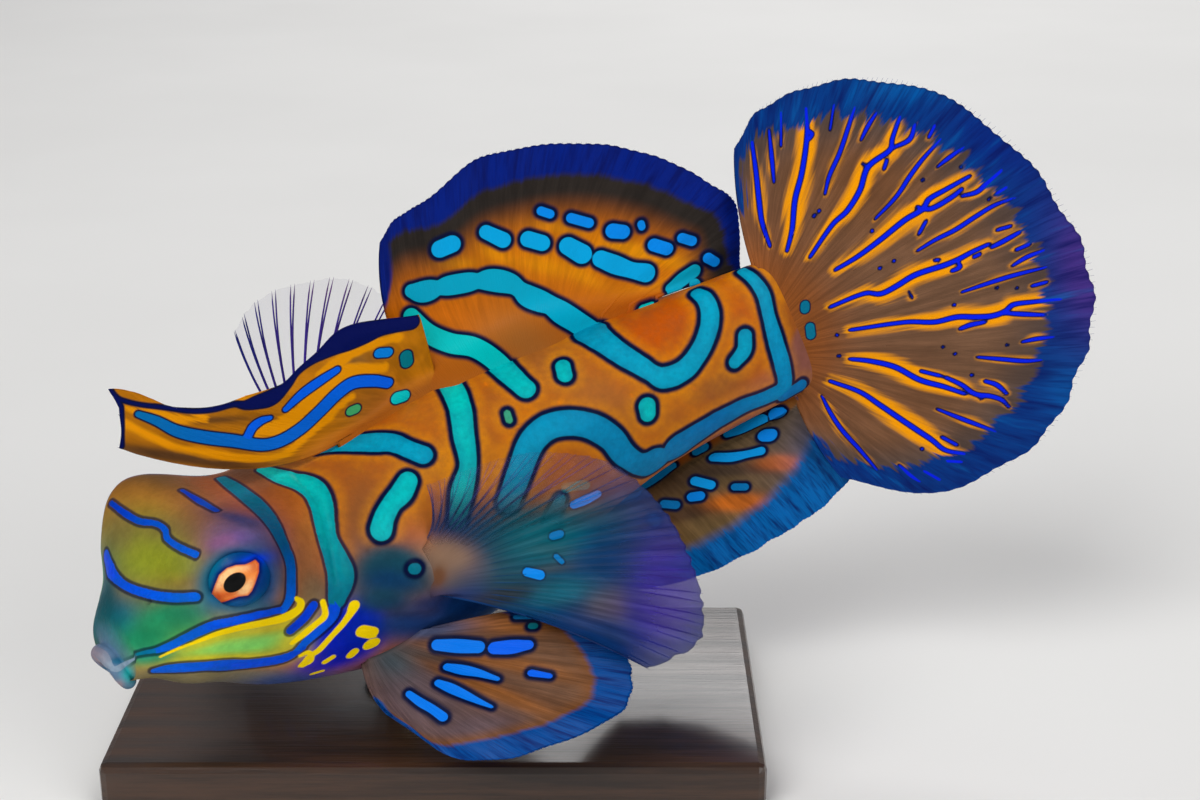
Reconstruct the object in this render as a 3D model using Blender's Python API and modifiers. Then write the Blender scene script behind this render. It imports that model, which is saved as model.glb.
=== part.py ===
"""A mandarinfish (Synchiropus splendidus) as a still, life-size display model.

The fish hangs over a plain base on one short rod. Its head turns to the viewer's left and
forward, the tail is raised, and every fin is spread. World metres, +Z up, origin at the
centre of the base's underside; the left flank faces -Y. Sizes below are in millimetres.
"""
import math

import bmesh
import bpy
import numpy as np
from mathutils import Matrix, Vector

MM = 0.001
GAP = 0.3

# The line through the body: station from the snout, pitch, yaw and roll in degrees.
SPINE = [(0, -3.9, 41.4, 6.7), (8, 0.7, 41.4, -2.1), (14, 8, 35, 8), (20, 19, 25, 6),
         (27, 25, 14, 3), (36, 25, 8, 1), (46.3, 25, 3, 0)]
# Cross-sections: station, half width, height of the back and of the belly over the line.
GIRTH = [(0.0, 1.51, -1.23, -3.51), (0.7, 2.78, 0.32, -3.14), (1.8, 3.79, 2.37, -3.24),
         (3.4, 5.34, 4.22, -3.93), (5.5, 5.7, 5.85, -4.64), (8.5, 6.31, 6.25, -5.87),
         (12.0, 7.0, 6.5, -6.6), (17.0, 7.3, 6.8, -7.5), (22.0, 6.9, 6.9, -8.0),
         (27.0, 6.0, 6.7, -7.2), (32.0, 5.0, 6.1, -5.8), (36.5, 3.9, 5.4, -5.0),
         (41.5, 2.8, 4.8, -4.7), (46.3, 1.6, 4.5, -4.6)]
LENGTH = 46.3
SNOUT = (-18.02, -13.12, 13.34)
SECTION_POWER = 2.25

# The swelling round each eye: station, turn from the back in degrees, rise and width.
EYE_S, EYE_TURN, EYE_RISE, EYE_WIDTH = 5.73, 56.3, 2.44, 3.48
EYE_LEAN = (-0.255, 0.76, 0.535)
# The eyeball: its radius, the way it looks, and how far it stands from the swelling's core.
EYE_BALL, EYE_OUT = 2.0, 0.7
GAZE = (-0.42, 0.88, -0.08)

# Stations of the thin cuts between the pieces of the body.
CUTS = (12.6, 27.0, 38.6)

BASE_SIZE = (40.0, 22.0, 3.0)
ROD_AT, ROD_RADIUS, ROD_TOP = (-2.9, 0.0), 1.0, 11.0
COLLAR_RADIUS, COLLAR_HEIGHT = 2.2, 0.8


def clear_scene():
    """Take out whatever the scene holds."""
    for thing in list(bpy.data.objects):
        bpy.data.objects.remove(thing, do_unlink=True)


def smooth(s, table):
    """Cubic through the rows of a table (station, values), with the slopes of its chords."""
    rows = np.asarray(table, float)
    x, y = rows[:, 0], rows[:, 1:]
    slope = np.zeros_like(y)
    slope[1:-1] = (y[2:] - y[:-2]) / (x[2:] - x[:-2])[:, None]
    slope[0] = (y[1] - y[0]) / (x[1] - x[0])
    slope[-1] = (y[-1] - y[-2]) / (x[-1] - x[-2])
    s = np.asarray(s, float)
    i = np.clip(np.searchsorted(x, s) - 1, 0, len(x) - 2)
    h = (x[i + 1] - x[i])[..., None]
    f = (s - x[i])[..., None] / h
    return ((2*f**3 - 3*f**2 + 1)*y[i] + (f**3 - 2*f**2 + f)*h*slope[i]
            + (3*f**2 - 2*f**3)*y[i + 1] + (f**3 - f**2)*h*slope[i + 1])


FINE = np.linspace(0, LENGTH, 464)
FINE_ANGLES = np.radians(smooth(FINE, SPINE))
FINE_BACK = np.stack([np.cos(FINE_ANGLES[:, 0])*np.cos(FINE_ANGLES[:, 1]),
                      np.cos(FINE_ANGLES[:, 0])*np.sin(FINE_ANGLES[:, 1]),
                      np.sin(FINE_ANGLES[:, 0])], -1)
FINE_LINE = np.zeros((len(FINE), 3))
FINE_LINE[1:] = np.cumsum((FINE_BACK[1:] + FINE_BACK[:-1])/2*(FINE[1] - FINE[0]), 0)
FINE_LINE += np.array(SNOUT)


def frame(s):
    """Centre and the unit vectors to the back, to the left and up at a station."""
    s = np.asarray(s, float)
    centre = np.stack([np.interp(s, FINE, FINE_LINE[:, k]) for k in range(3)], -1)
    back = np.stack([np.interp(s, FINE, FINE_BACK[:, k]) for k in range(3)], -1)
    back /= np.linalg.norm(back, axis=-1, keepdims=True)
    roll = np.interp(s, FINE, FINE_ANGLES[:, 2])[..., None]
    left = np.cross(np.array([0, 0, 1.0]), -back)
    left /= np.linalg.norm(left, axis=-1, keepdims=True)
    up = np.cross(-back, left)
    centre = centre + (s - np.clip(s, 0, LENGTH))[..., None]*back
    return (centre, back, left*np.cos(roll) - up*np.sin(roll),
            up*np.cos(roll) + left*np.sin(roll))


def place(s, side, up):
    """World point at a station, so far to the left and so far up."""
    c, b, l, u = frame(s)
    return c + l*np.asarray(side, float)[..., None] + u*np.asarray(up, float)[..., None]


def plain_skin(s, turn):
    """Point of the body's surface without the swellings of the eyes."""
    s, turn = np.broadcast_arrays(np.asarray(s, float), np.asarray(turn, float))
    centre, _, left, up = frame(s)
    size = smooth(s, GIRTH)
    half, tall = size[..., 0], 0.5*(size[..., 1] - size[..., 2])
    centre = centre + up*(0.5*(size[..., 1] + size[..., 2]))[..., None]
    r = ((np.abs(np.cos(turn))/tall)**SECTION_POWER
         + (np.abs(np.sin(turn))/half)**SECTION_POWER)**(-1/SECTION_POWER)
    return centre + r[..., None]*(np.cos(turn)[..., None]*up + np.sin(turn)[..., None]*left)


def eye_root(side):
    """Point of the plain surface under an eye, and the way its swelling rises."""
    _, back, left, up = frame(EYE_S)
    lean = back*EYE_LEAN[0] + left*EYE_LEAN[1]*side + up*EYE_LEAN[2]
    return plain_skin(EYE_S, side*math.radians(EYE_TURN)), lean/np.linalg.norm(lean)


def skin(s, turn):
    """Point of the body's surface at a station, turned from the back to the left."""
    point = plain_skin(s, turn)
    lift = np.zeros_like(point)
    for side in (1, -1):
        root, lean = eye_root(side)
        far = np.linalg.norm(point - root, axis=-1)
        lift += lean*(EYE_RISE*np.exp(-(far/EYE_WIDTH)**3))[..., None]
    return point + lift


def skin_normal(s, turn, step=0.05):
    """Outward unit normal of the body's surface."""
    ds = skin(s + step, turn) - skin(s - step, turn)
    dt = skin(s, turn + 0.02) - skin(s, turn - 0.02)
    n = np.cross(dt, ds)
    n /= np.linalg.norm(n, axis=-1, keepdims=True)
    centre = frame(s)[0] + frame(s)[3]*(smooth(s, GIRTH)[..., 1:3].mean(-1))[..., None]
    return n*np.sign(np.sum(n*(skin(s, turn) - centre), -1))[..., None]


def make_material(name, colour, rough, metal=0.0):
    """Plain surface of one colour."""
    mat = bpy.data.materials.new(name)
    mat.use_nodes = True
    shader = mat.node_tree.nodes["Principled BSDF"]
    shader.inputs["Base Color"].default_value = (*colour, 1.0)
    shader.inputs["Roughness"].default_value = rough
    shader.inputs["Metallic"].default_value = metal
    mat.diffuse_color = (*colour, 1.0)
    return mat


def make_object(name, points, faces, where):
    """Mesh object from points in millimetres, with its faces turned outward."""
    mesh = bpy.data.meshes.new(name)
    mesh.from_pydata((np.asarray(points)*MM).tolist(), [], faces)
    build = bmesh.new()
    build.from_mesh(mesh)
    bmesh.ops.recalc_face_normals(build, faces=build.faces)
    build.to_mesh(mesh)
    build.free()
    thing = bpy.data.objects.new(name, mesh)
    where.objects.link(thing)
    return thing


def finish(thing, colour, rough, metal=0.0):
    """Give a finished piece its material."""
    thing.data.materials.clear()
    thing.data.materials.append(make_material(thing.name + "_surface", colour, rough, metal))
    return thing


def apply_modifiers(thing):
    """Turn a piece and its modifiers into plain mesh."""
    graph = bpy.context.evaluated_depsgraph_get()
    mesh = bpy.data.meshes.new_from_object(thing.evaluated_get(graph))
    thing.modifiers.clear()
    thing.data = mesh


def keep_largest(thing):
    """Keep only the largest closed surface of a piece."""
    build = bmesh.new()
    build.from_mesh(thing.data)
    bmesh.ops.remove_doubles(build, verts=build.verts, dist=1e-7)
    bmesh.ops.triangulate(build, faces=build.faces)
    build.faces.ensure_lookup_table()
    groups, seen = [], set()
    for face in build.faces:
        if face.index in seen:
            continue
        group, stack = [], [face]
        seen.add(face.index)
        while stack:
            item = stack.pop()
            group.append(item)
            for edge in item.edges:
                for near in edge.link_faces:
                    if near.index not in seen:
                        seen.add(near.index)
                        stack.append(near)
        groups.append(group)

    def size(group):
        return abs(sum(f.verts[0].co.dot(f.verts[1].co.cross(f.verts[2].co)) for f in group))

    groups.sort(key=size, reverse=True)
    spare = [face for group in groups[1:] for face in group]
    bmesh.ops.delete(build, geom=spare, context="FACES")
    bmesh.ops.recalc_face_normals(build, faces=build.faces)
    build.to_mesh(thing.data)
    build.free()


def combine(thing, others, how):
    """Join others to a piece, or cut them out of it."""
    group = bpy.data.collections.new(thing.name + "_" + how.lower())
    for item in others:
        group.objects.link(item)
    step = thing.modifiers.new(how.lower(), "BOOLEAN")
    step.operation = how
    step.operand_type = "COLLECTION"
    step.collection = group
    step.solver = "EXACT"
    apply_modifiers(thing)
    for item in others:
        bpy.data.objects.remove(item, do_unlink=True)
    bpy.data.collections.remove(group)
    keep_largest(thing)


def loft(name, stations, sides, where):
    """Closed piece of the body through its cross-sections, flat at both ends."""
    turns = np.linspace(0, 2*math.pi, sides, endpoint=False)
    rings = skin(np.asarray(stations)[:, None], turns[None, :])
    points = rings.reshape(-1, 3).tolist()
    faces = []
    for i in range(len(stations) - 1):
        for j in range(sides):
            k = (j + 1) % sides
            faces.append((i*sides + j, i*sides + k, (i + 1)*sides + k, (i + 1)*sides + j))
    for i in (0, len(stations) - 1):
        middle = len(points)
        points.append(rings[i].mean(0).tolist())
        for j in range(sides):
            faces.append((i*sides + j, i*sides + (j + 1) % sides, middle))
    return make_object(name, points, faces, where)


def add_ball(name, centre, radii, where, turn=None, parts=(24, 14)):
    """Ellipsoid at a point in millimetres."""
    build = bmesh.new()
    bmesh.ops.create_uvsphere(build, u_segments=parts[0], v_segments=parts[1], radius=1.0)
    mesh = bpy.data.meshes.new(name)
    turn = turn or Matrix.Identity(3)
    place_at = Matrix.Translation(Vector(centre)*MM) @ turn.to_4x4()
    bmesh.ops.transform(build, matrix=place_at @ Matrix.Diagonal([*(Vector(radii)*MM), 1]),
                        verts=build.verts)
    build.to_mesh(mesh)
    build.free()
    thing = bpy.data.objects.new(name, mesh)
    where.objects.link(thing)
    return thing


def turn_to(direction, upward):
    """Rotation whose Z points along a direction and whose Y lies near an upward vector."""
    z = Vector(direction).normalized()
    x = Vector(upward).cross(z).normalized()
    y = z.cross(x)
    return Matrix((x, y, z)).transposed()


def eye_place(side):
    """Centre of an eyeball and the direction in which the eye looks."""
    _, back, left, up = frame(EYE_S)
    look = back*GAZE[0] + left*GAZE[1]*side + up*GAZE[2]
    look /= np.linalg.norm(look)
    root, lean = eye_root(side)
    return root + lean*(EYE_RISE - 2.5) + look*EYE_OUT, look


def make_lips(where):
    """Ring of the lips round the mouth, and the hollow of the mouth."""
    _, back, left, up = frame(0.0)
    aim = -back*math.cos(math.radians(35)) - up*math.sin(math.radians(35))
    rise = np.cross(aim, left)
    centre = place(0.2, 0.0, -2.5) - aim*0.45 - rise*0.5
    path = bpy.data.curves.new("lip_ring", "CURVE")
    path.dimensions = "3D"
    path.bevel_depth, path.bevel_resolution = 0.48*MM, 2
    line = path.splines.new("POLY")
    count = 22
    line.points.add(count - 1)
    for i in range(count):
        a = 2*math.pi*i/count
        point = (centre + aim*(0.3 + 0.12*math.cos(2*a)) + left*math.cos(a)*1.42
                 + rise*math.sin(a)*0.85)
        line.points[i].co = (*(point*MM), 1)
    line.use_cyclic_u = True
    guide = bpy.data.objects.new("lip_ring", path)
    where.objects.link(guide)
    graph = bpy.context.evaluated_depsgraph_get()
    ring = bpy.data.objects.new("lips", bpy.data.meshes.new_from_object(guide.evaluated_get(graph)))
    where.objects.link(ring)
    bpy.data.objects.remove(guide, do_unlink=True)
    hollow = add_ball("mouth_hollow", centre + aim*0.3, (1.05, 0.5, 1.7), where,
                      turn_to(aim, rise), (18, 10))
    return ring, hollow


def make_head(where, cutters):
    """Head with the sockets of the eyes, the lips, the mouth and the nostrils."""
    stations = [0, 0.4, 0.9, 1.6, 2.4, 3.2, 4.0, 4.8, 5.6, 6.4, 7.3, 8.3, 9.6, 11.1, CUTS[0]]
    head = loft("head", stations, 36, where)
    lips, hollow = make_lips(cutters)
    combine(head, [lips], "UNION")
    tools = [hollow]
    for side in (1, -1):
        centre, look = eye_place(side)
        tools.append(add_ball("socket", centre, [EYE_BALL + GAP]*3, cutters,
                              turn_to(look, frame(EYE_S)[3])))
        spot = skin(2.1, side*math.radians(52))
        tools.append(add_ball("nostril", spot, (0.3, 0.3, 0.45), cutters,
                              turn_to(skin_normal(np.array(2.1), side*math.radians(52)),
                                      frame(2.1)[3]), (10, 6)))
    combine(head, tools, "DIFFERENCE")
    return finish(head, (0.30, 0.29, 0.05), 0.35)


def make_eye(name, side, where):
    """Eyeball with its dark front."""
    centre, look = eye_place(side)
    ball = add_ball(name, centre, [EYE_BALL]*3, where, turn_to(look, frame(EYE_S)[3]), (24, 12))
    return finish(ball, (0.85, 0.22, 0.08), 0.1)


def make_trunk(where, cutters):
    """The three pieces of the body behind the head, with a blind hole for the rod."""
    ends = [(CUTS[0] + GAP, CUTS[1], 12, 36, "front_trunk"),
            (CUTS[1] + GAP, CUTS[2], 8, 32, "rear_trunk"),
            (CUTS[2] + GAP, LENGTH, 6, 28, "tail_stalk")]
    for start, stop, count, sides, name in ends:
        piece = loft(name, np.linspace(start, stop, count), sides, where)
        if name == "front_trunk":
            hole = add_cylinder("rod_hole", ROD_AT, ROD_RADIUS + GAP, 0.0, ROD_TOP + GAP, cutters)
            combine(piece, [hole], "DIFFERENCE")
        finish(piece, (0.68, 0.24, 0.02), 0.4)


def add_cylinder(name, at, radius, low, high, where, around=24):
    """Upright cylinder between two heights."""
    build = bmesh.new()
    bmesh.ops.create_cone(build, cap_ends=True, segments=around, radius1=radius*MM,
                          radius2=radius*MM, depth=(high - low)*MM)
    mesh = bpy.data.meshes.new(name)
    build.to_mesh(mesh)
    build.free()
    thing = bpy.data.objects.new(name, mesh)
    mesh.transform(Matrix.Translation(Vector((at[0], at[1], (low + high)/2))*MM))
    where.objects.link(thing)
    return thing


def turned(name, at, profile, where, around=28):
    """Upright turned piece: a profile of radius and height, top to bottom, spun by Screw."""
    mesh = bpy.data.meshes.new(name)
    points = [(r*MM, 0, z*MM) for r, z in profile]
    mesh.from_pydata(points, [(i, i + 1) for i in range(len(points) - 1)], [])
    thing = bpy.data.objects.new(name, mesh)
    where.objects.link(thing)
    thing.location = (at[0]*MM, at[1]*MM, 0)
    spin = thing.modifiers.new("turn", "SCREW")
    spin.axis, spin.steps, spin.render_steps = "Z", around, around
    spin.use_merge_vertices, spin.merge_threshold = True, 0.00001
    return thing


class Fin:
    """A fin as a sheet between curved rays, from its root (v=0) to its edge (v=1).

    root, middle and tip hold the key rays in world millimetres; the middle is the point
    that bends the ray. side is the body's outward direction at each root.
    """

    def __init__(self, name, root, middle, tip, side, rays, colour, thick):
        self.name, self.rays, self.colour, self.thick = name, rays, colour, thick
        self.shifts = (-0.17, 0.0, 0.17)
        self.root, self.middle, self.tip, self.side = (
            np.asarray(x, float) for x in (root, middle, tip, side))

    def key(self, rows, q):
        """Rows read smoothly at the fraction q of the way from first to last."""
        table = np.column_stack([np.linspace(0, 1, len(rows)), rows])
        return smooth(q, table)

    def sheet(self, q, v):
        """Middle of the fin's thickness at ray fraction q and length fraction v."""
        q, v = np.broadcast_arrays(q, v)
        a, b, c = (self.key(rows, q) for rows in (self.root, self.middle, self.tip))
        v = v[..., None]
        return a*(1 - v)**2 + b*2*v*(1 - v) + c*v**2

    def solid(self, where, rows, notch):
        """Closed fin with a ridge for each ray and the membrane sunk between them."""
        step = 1/(self.rays - 1)
        q, crest = [], []
        for i in range(self.rays):
            for shift in self.shifts:
                at = (i + shift)*step
                if 0 <= at <= 1:
                    q.append(at)
                    crest.append(1.0 if shift == 0 else 0.0)
        q, crest = np.array(q), np.array(crest)
        v = np.linspace(0, 1, rows)**0.9
        reach = 1 - notch*(1 - crest)*(1 - self.edge_ease(q))
        grid = self.sheet(q[:, None], v[None, :]*reach[:, None])
        normal = self.normals(q[:, None], v[None, :]*reach[:, None])
        out = self.key(self.side, q)
        flat = normal[:, 0] - out*np.sum(normal[:, 0]*out, -1, keepdims=True)
        normal[:, 0] = flat/np.linalg.norm(flat, axis=-1, keepdims=True)
        base, film, ridge = self.thick
        body = film + (ridge - film)*crest[:, None]*(1 - 0.6*v[None, :])
        root = np.clip(1 - v/0.3, 0, 1)[None, :]**1.5
        half = 0.5*(body + (base - body)*root)
        half = half*np.where(v > 0.999, 0.45, 1.0)[None, :]
        front, rear = grid + normal*half[..., None], grid - normal*half[..., None]
        points = np.concatenate([front.reshape(-1, 3), rear.reshape(-1, 3)])
        n, m, far = len(q), rows, len(q)*rows
        faces = []
        for i in range(n - 1):
            for j in range(m - 1):
                a, b, c, d = i*m + j, (i + 1)*m + j, (i + 1)*m + j + 1, i*m + j + 1
                faces += [(a, b, c), (a, c, d), (far + a, far + c, far + b),
                          (far + a, far + d, far + c)]
        rim = ([i*m for i in range(n)] + [(n - 1)*m + j for j in range(1, m)]
               + [i*m + m - 1 for i in range(n - 2, -1, -1)] + list(range(m - 2, 0, -1)))
        for a, b in zip(rim, rim[1:] + rim[:1]):
            faces += [(b, a, far + a), (b, far + a, far + b)]
        fin = make_object(self.name, points, faces, where)
        return finish(fin, self.colour, 0.45)

    def edge_ease(self, q):
        """One at the outer two rays, where the membrane isn't notched."""
        return np.where((q < 1e-6) | (q > 1 - 1e-6), 1.0, 0.0)

    def normals(self, q, v, step=1e-3):
        """Unit normals of the sheet."""
        dq = (self.sheet(np.clip(q + step, 0, 1), v) - self.sheet(np.clip(q - step, 0, 1), v))
        dv = (self.sheet(q, np.clip(v + step, 0, 1)) - self.sheet(q, np.clip(v - step, 0, 1)))
        n = np.cross(dq, dv)
        return n/np.linalg.norm(n, axis=-1, keepdims=True)


def median_fin(name, turn, roots, tips, bow, rays, colour, thick, flat_at=None):
    """Fin on the midline: root stations, tips as (station, side, up), bow of first and last ray."""
    roots = np.array(roots, float)
    tips = np.array(tips, float)
    root = skin(roots, turn) + skin_normal(roots, turn)*GAP
    if flat_at is None:
        tip = place(tips[:, 0], tips[:, 1], tips[:, 2])
        axes = frame(roots)[1:]
    else:
        centre, back, left, up = frame(flat_at)
        tip = (centre + back*(tips[:, :1] - flat_at) + left*tips[:, 1:2] + up*tips[:, 2:3])
        axes = (back, left, up)
    share = np.linspace(0, 1, len(tips))[:, None]
    bend = np.array(bow[0])*(1 - share) + np.array(bow[1])*share
    middle = 0.5*(root + tip) + sum(a*bend[:, k:k + 1] for k, a in enumerate(axes))
    return Fin(name, root, middle, tip, skin_normal(roots, turn), rays, colour, thick)


def paired_fin(name, side, station, roots, tips, bow, rays, colour, thick):
    """Fin of one flank: roots as (station, turn), tips from a frame as (back, out, up)."""
    roots, tips = np.array(roots, float), np.array(tips, float)
    share = np.linspace(0, 1, len(tips))
    root_s = np.interp(share, np.linspace(0, 1, len(roots)), roots[:, 0])
    root_t = side*np.radians(np.interp(share, np.linspace(0, 1, len(roots)), roots[:, 1]))
    normal = skin_normal(root_s, root_t)
    root = skin(root_s, root_t) + normal*GAP
    centre, back, left, up = frame(station)
    tip = centre + back*tips[:, :1] + left*side*tips[:, 1:2] + up*tips[:, 2:3]
    bend = (np.array(bow[0])*(1 - share[:, None]) + np.array(bow[1])*share[:, None])
    middle = (0.5*(root + tip) + back*bend[:, :1] + left*side*bend[:, 1:2] + up*bend[:, 2:3])
    return Fin(name, root, middle, tip, normal, rays, colour, thick)


ORANGE, BLUE, BROWN = (0.58, 0.20, 0.02), (0.01, 0.08, 0.40), (0.30, 0.13, 0.05)
PLAIN_FIN = (1.1, 0.5, 0.9)

FIRST_DORSAL = dict(
    roots=[17.4, 18.7, 20.0, 21.3, 22.7, 24.0, 25.3],
    tips=[(3.7, 0.0, 14.9), (3.6, 0.0, 18.6), (6.6, 0.0, 14.7), (10.0, 0.0, 13.1),
          (13.7, 0.0, 13.1), (18.0, 0.0, 14.4), (23.1, 0.0, 13.4)],
    bow=((0.8, 0.0, -4.6), (0.0, 0.0, 0.3)))
SECOND_DORSAL = dict(
    roots=[26.3, 27.6, 28.9, 30.2, 31.5, 32.7, 33.9, 35.1, 36.3, 37.6, 38.9, 40.2],
    tips=[(27.0, 0.0, 16.9), (29.0, 0.0, 17.7), (31.1, 0.0, 18.0), (33.9, 0.0, 18.4),
          (36.4, 0.0, 18.1), (39.2, 0.0, 17.0), (42.1, 0.0, 15.3), (44.7, -0.2, 12.8),
          (46.7, -0.8, 9.7), (47.3, -1.2, 7.7), (46.9, -1.6, 5.6), (46.1, -1.9, 3.9)],
    bow=((-2.2, 0.0, 0.0), (0.6, -0.3, 0.2)))
ANAL = dict(
    roots=[28.5, 30.8, 33.1, 35.4, 37.7, 40.0, 42.4, 45.0],
    tips=[(30.0, -0.2, -12.3), (32.6, -0.3, -13.4), (35.2, -0.5, -13.9), (37.8, -0.7, -14.0),
          (40.3, -0.9, -13.8), (42.7, -1.1, -13.5), (45.1, -1.4, -12.9), (47.6, -1.8, -11.8)],
    bow=((-0.6, 0.0, 0.0), (0.7, -0.6, -0.5)))
CAUDAL_TIPS = [(48.6, 11.9), (51.1, 13.4), (54.5, 13.5), (57.7, 12.4), (60.7, 10.5),
               (63.2, 7.6), (64.9, 3.3), (65.9, -1.3), (65.7, -6.1), (63.8, -10.4),
               (60.3, -13.9), (55.7, -15.5), (50.4, -15.0), (46.2, -11.6)]
LEFT_PECTORAL = dict(
    station=19.0, roots=[(19.6, 66), (19.3, 80), (18.9, 94)],
    tips=[(1.7, 5.9, 5.4), (3.3, 6.9, 5.9), (5.3, 7.8, 6.2), (7.4, 8.6, 6.1), (9.2, 9.6, 5.6),
          (11.0, 10.8, 4.7), (12.2, 12.3, 3.2), (12.7, 14.3, 1.5), (12.4, 16.6, -0.1),
          (11.6, 18.7, -1.6), (10.1, 20.2, -2.8), (6.9, 19.8, -3.1)],
    bow=((0.3, 1.1, 0.2), (0.8, -0.4, 0.6)))
RIGHT_PECTORAL = dict(
    station=18.0, roots=[(17.0, 66), (17.3, 80), (17.6, 94)],
    tips=[(-1.2, 13.7, 9.1), (0.4, 14.3, 10.0), (2.4, 14.3, 10.4), (4.4, 14.0, 10.2),
          (6.3, 13.5, 9.9), (7.9, 12.8, 8.9), (9.2, 11.8, 7.4), (9.9, 10.8, 5.0),
          (9.9, 10.2, 2.0), (9.2, 9.8, -1.1)],
    bow=((-0.8, 0.4, 0.2), (0.2, 0.8, 0.2)))
PELVIC = dict(
    station=14.0, roots=[(13.4, 124), (15.6, 119), (18.2, 113)],
    tips=[(-0.9, 10.1, -5.4), (0.5, 13.7, -6.7), (2.6, 16.3, -6.3), (5.0, 18.0, -5.4),
          (7.5, 19.1, -4.5), (9.5, 19.2, -3.9), (10.6, 18.2, -2.7), (11.0, 16.8, -1.6),
          (11.0, 15.2, -0.8), (10.3, 13.3, -0.5)],
    bow=((-0.8, 0.3, -0.3), (0.4, 0.2, 0.6)))


def make_fins(where):
    """Build every fin."""
    up_turn, down_turn = 0.0, math.pi
    fins = [
        (median_fin("first_dorsal_fin", up_turn, **FIRST_DORSAL, rays=4, colour=ORANGE,
                    thick=PLAIN_FIN, flat_at=16.0), 12, 0.0),
        (median_fin("second_dorsal_fin", up_turn, **SECOND_DORSAL, rays=9, colour=ORANGE,
                    thick=PLAIN_FIN), 10, 0.02),
        (median_fin("anal_fin", down_turn, **ANAL, rays=8, colour=BLUE, thick=PLAIN_FIN),
         8, 0.03),
        (caudal_fin(), 12, 0.02),
        (paired_fin("pectoral_fin_left", 1, **LEFT_PECTORAL, rays=14, colour=BLUE,
                    thick=(1.9, 0.5, 0.8)), 8, 0.03),
        (paired_fin("pectoral_fin_right", -1, **RIGHT_PECTORAL, rays=14, colour=BLUE,
                    thick=(1.9, 0.5, 0.8)), 8, 0.03),
        (paired_fin("pelvic_fin_left", 1, **PELVIC, rays=8, colour=BROWN,
                    thick=(1.3, 0.5, 0.9)), 9, 0.03),
        (paired_fin("pelvic_fin_right", -1, **PELVIC, rays=8, colour=BROWN,
                    thick=(1.3, 0.5, 0.9)), 9, 0.03),
    ]
    fins[0][0].shifts += (0.5,)
    for fin, rows, notch in fins:
        fin.solid(where, rows, notch)


def caudal_fin():
    """Tail fin, a wide fan on the flat end of the tail stalk."""
    tips = np.array(CAUDAL_TIPS, float)
    start = LENGTH + GAP
    heights = np.linspace(4.0, -4.1, len(tips))
    root = place(np.full(len(tips), start), np.zeros(len(tips)), heights)
    tip = place(tips[:, 0], np.zeros(len(tips)), tips[:, 1])
    _, back, left, up = frame(LENGTH)
    share = np.linspace(-1, 1, len(tips))[:, None]
    middle = 0.5*(root + tip) - back*0.7*share**2 - up*share*0.2 + left*0.5*(1 - share**2)
    side = np.repeat(-back[None, :], len(tips), 0)
    return Fin("caudal_fin", root, middle, tip, side, 10, (0.55, 0.22, 0.03), (2.2, 0.5, 0.95))


def make_stand(where):
    """Flat base with eased edges, and the rod with its collar."""
    x, y, z = BASE_SIZE
    mesh = bpy.data.meshes.new("stand_base")
    build = bmesh.new()
    bmesh.ops.create_cube(build, size=1.0)
    bmesh.ops.transform(build, matrix=Matrix.Diagonal((x*MM, y*MM, z*MM, 1)), verts=build.verts)
    build.to_mesh(mesh)
    build.free()
    base = bpy.data.objects.new("stand_base", mesh)
    where.objects.link(base)
    base.location = (0, 0, z/2*MM)
    bevel = base.modifiers.new("eased edges", "BEVEL")
    bevel.width, bevel.segments, bevel.limit_method = 0.5*MM, 2, "ANGLE"
    finish(base, (0.045, 0.022, 0.012), 0.35)
    low = z + GAP
    rod = turned("stand_rod", ROD_AT, [
        (0, ROD_TOP), (ROD_RADIUS - 0.15, ROD_TOP), (ROD_RADIUS, ROD_TOP - 0.15),
        (ROD_RADIUS, low + COLLAR_HEIGHT), (COLLAR_RADIUS - 0.35, low + COLLAR_HEIGHT),
        (COLLAR_RADIUS, low + COLLAR_HEIGHT*0.6), (COLLAR_RADIUS, low), (0, low)], where)
    finish(rod, (0.62, 0.48, 0.22), 0.25, 1.0)


def main():
    """Build the whole model."""
    clear_scene()
    fish = bpy.data.collections.new("mandarinfish")
    cutters = bpy.data.collections.new("cutters")
    bpy.context.scene.collection.children.link(fish)
    bpy.context.scene.collection.children.link(cutters)
    make_head(fish, cutters)
    make_eye("eye_left", 1, fish)
    make_eye("eye_right", -1, fish)
    make_trunk(fish, cutters)
    make_fins(fish)
    make_stand(fish)


main()
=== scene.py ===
"""A mandarinfish as a display model: skin, fins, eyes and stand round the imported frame.

Shapes are worked out in millimetres on grids of two parameters and put into the meshes in
metres. The marks are strokes measured in picture points (1200 x 800): the lens carries each
stroke onto the surface that it lies on, and every surface point keeps its distance from the
nearest stroke, which the finishes turn into bands, outlines and halos.
"""
from __future__ import annotations

import logging
import math
from dataclasses import dataclass, field
from enum import Enum

import bpy
import numpy as np
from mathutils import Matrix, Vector
from mathutils.bvhtree import BVHTree
from mathutils.interpolate import poly_3d_calc

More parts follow.
